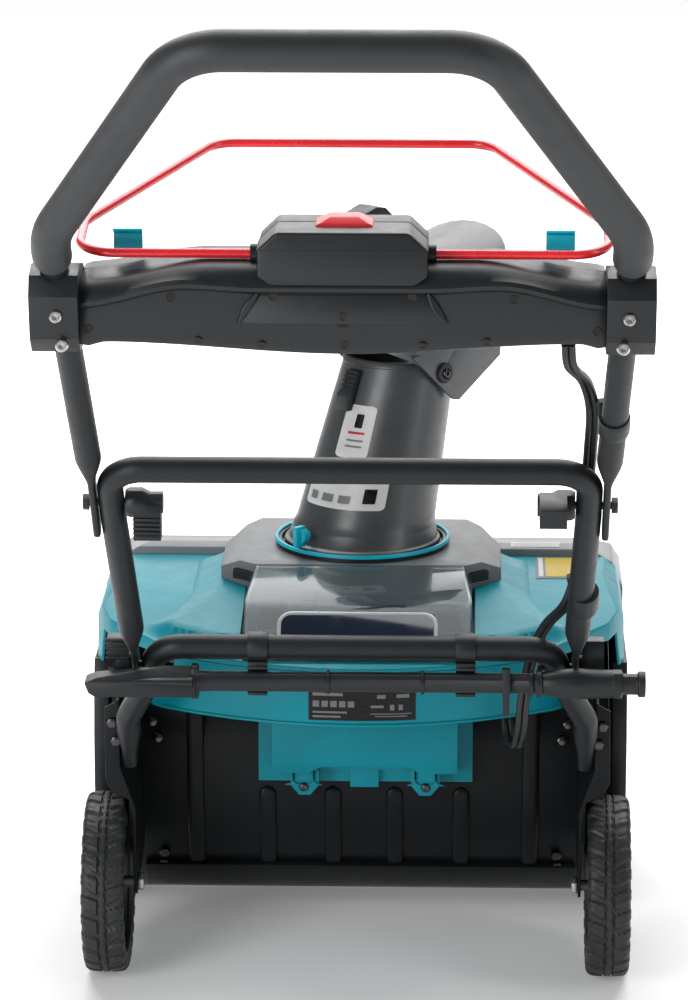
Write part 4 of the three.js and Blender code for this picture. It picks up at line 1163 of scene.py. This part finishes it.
def frame_bolts():
    for side, sign in SIDES:
        for index, (x, z) in enumerate(((254.4, 276.5), (250.4, 257))):
            place = at(sign * x, -22.2, z)
            bolt(f"bracket_bolt_{side}_{index}", place, REAR, 5.6, "machine", 5, BLACK_ZINC, socket=False)
        base = surface(frame["nodes"]["drum_shell"].data)
        for index, (x, z) in enumerate(((222, 238), (216, 221), (211, 88), (212, 74))):
            place, normal = onto(base, at(sign * x, -200, z), FORWARD)
            bolt(f"drum_bolt_{side}_{index}", place, normal, 6, "machine", 6, BLACK_ZINC, socket=False)
    for index, x in enumerate((-59, 70.4)):
        bolt(f"cover_screw_{index}", at(x, 73.9, 177), REAR, 5, "machine", 3.6, BLACK_ZINC)
        for rib in (-11, 11):
            bar_across(f"cover_rib_{index}_{rib}", at(x + rib, 73.9, 192), 2.6, 24, 2.4, REAR, "machine",
                       TEAL)


knob_ribs()
tool_details()
cable_clips()
frame_bolts()

# ---------- floor, light and camera ----------

FLOOR_HALF = 12
WORLD_LIGHT = 0.22
CAMERA_PLACE = (111, -4482, 1649)
CAMERA_DOWN = 14.25
CAMERA_YAW = 1.6
CAMERA_LENS = 235.465


def stage_floor():
    mesh = bpy.data.meshes.new("floor")
    corners = [(x * FLOOR_HALF, y * FLOOR_HALF, 0) for x, y in ((-1, -1), (1, -1), (1, 1), (-1, 1))]
    mesh.from_pydata(corners, [], [(0, 1, 2, 3)])
    floor = bpy.data.objects.new("floor", mesh)
    bpy.context.scene.collection.objects.link(floor)
    paper = finish("floor", (0.92, 0.92, 0.92), 0.8, grain=50, mottle=0.01, specular=0.1, glow=True)
    mesh.materials.append(paper)


def area_light(name, place, aim, width, height, power):
    light = bpy.data.lights.new(name, "AREA")
    light.shape = "RECTANGLE"
    light.size = width
    light.size_y = height
    light.energy = power
    lamp = bpy.data.objects.new(name, light)
    bpy.context.scene.collection.objects.link(lamp)
    lamp.location = place
    lamp.rotation_euler = (Vector(aim) - Vector(place)).to_track_quat("-Z", "Y").to_euler()


def lights():
    world = bpy.data.worlds.new("studio")
    bpy.context.scene.world = world
    bpy.context.scene.view_settings.view_transform = "Standard"
    world.use_nodes = True
    background = world.node_tree.nodes["Background"]
    background.inputs["Color"].default_value = (1, 1, 1, 1)
    background.inputs["Strength"].default_value = WORLD_LIGHT
    area_light("top", (0, 2.3, 3.3), (0, 0.7, 0.2), 4.4, 3.6, 210)
    area_light("key_left", (-2.1, -2.8, 1.35), (0, 0, 0.6), 1.4, 2.4, 72)
    area_light("key_right", (2.7, -1.2, 1.9), (0, 0, 0.5), 0.6, 2.6, 16)
    area_light("front_wall", (0, 6.4, 2.0), (0, 0, 0.6), 6.5, 2.2, 95)


def camera():
    lens = bpy.data.cameras.new("camera")
    eye = bpy.data.objects.new("camera", lens)
    bpy.context.scene.collection.objects.link(eye)
    eye.location = at(*CAMERA_PLACE)
    eye.rotation_euler = (math.radians(90 - CAMERA_DOWN), 0, math.radians(CAMERA_YAW))
    lens.sensor_fit = "HORIZONTAL"
    lens.sensor_width = 36
    lens.lens = CAMERA_LENS
    lens.clip_end = 60
    bpy.context.scene.camera = eye


stage_floor()
lights()
camera()
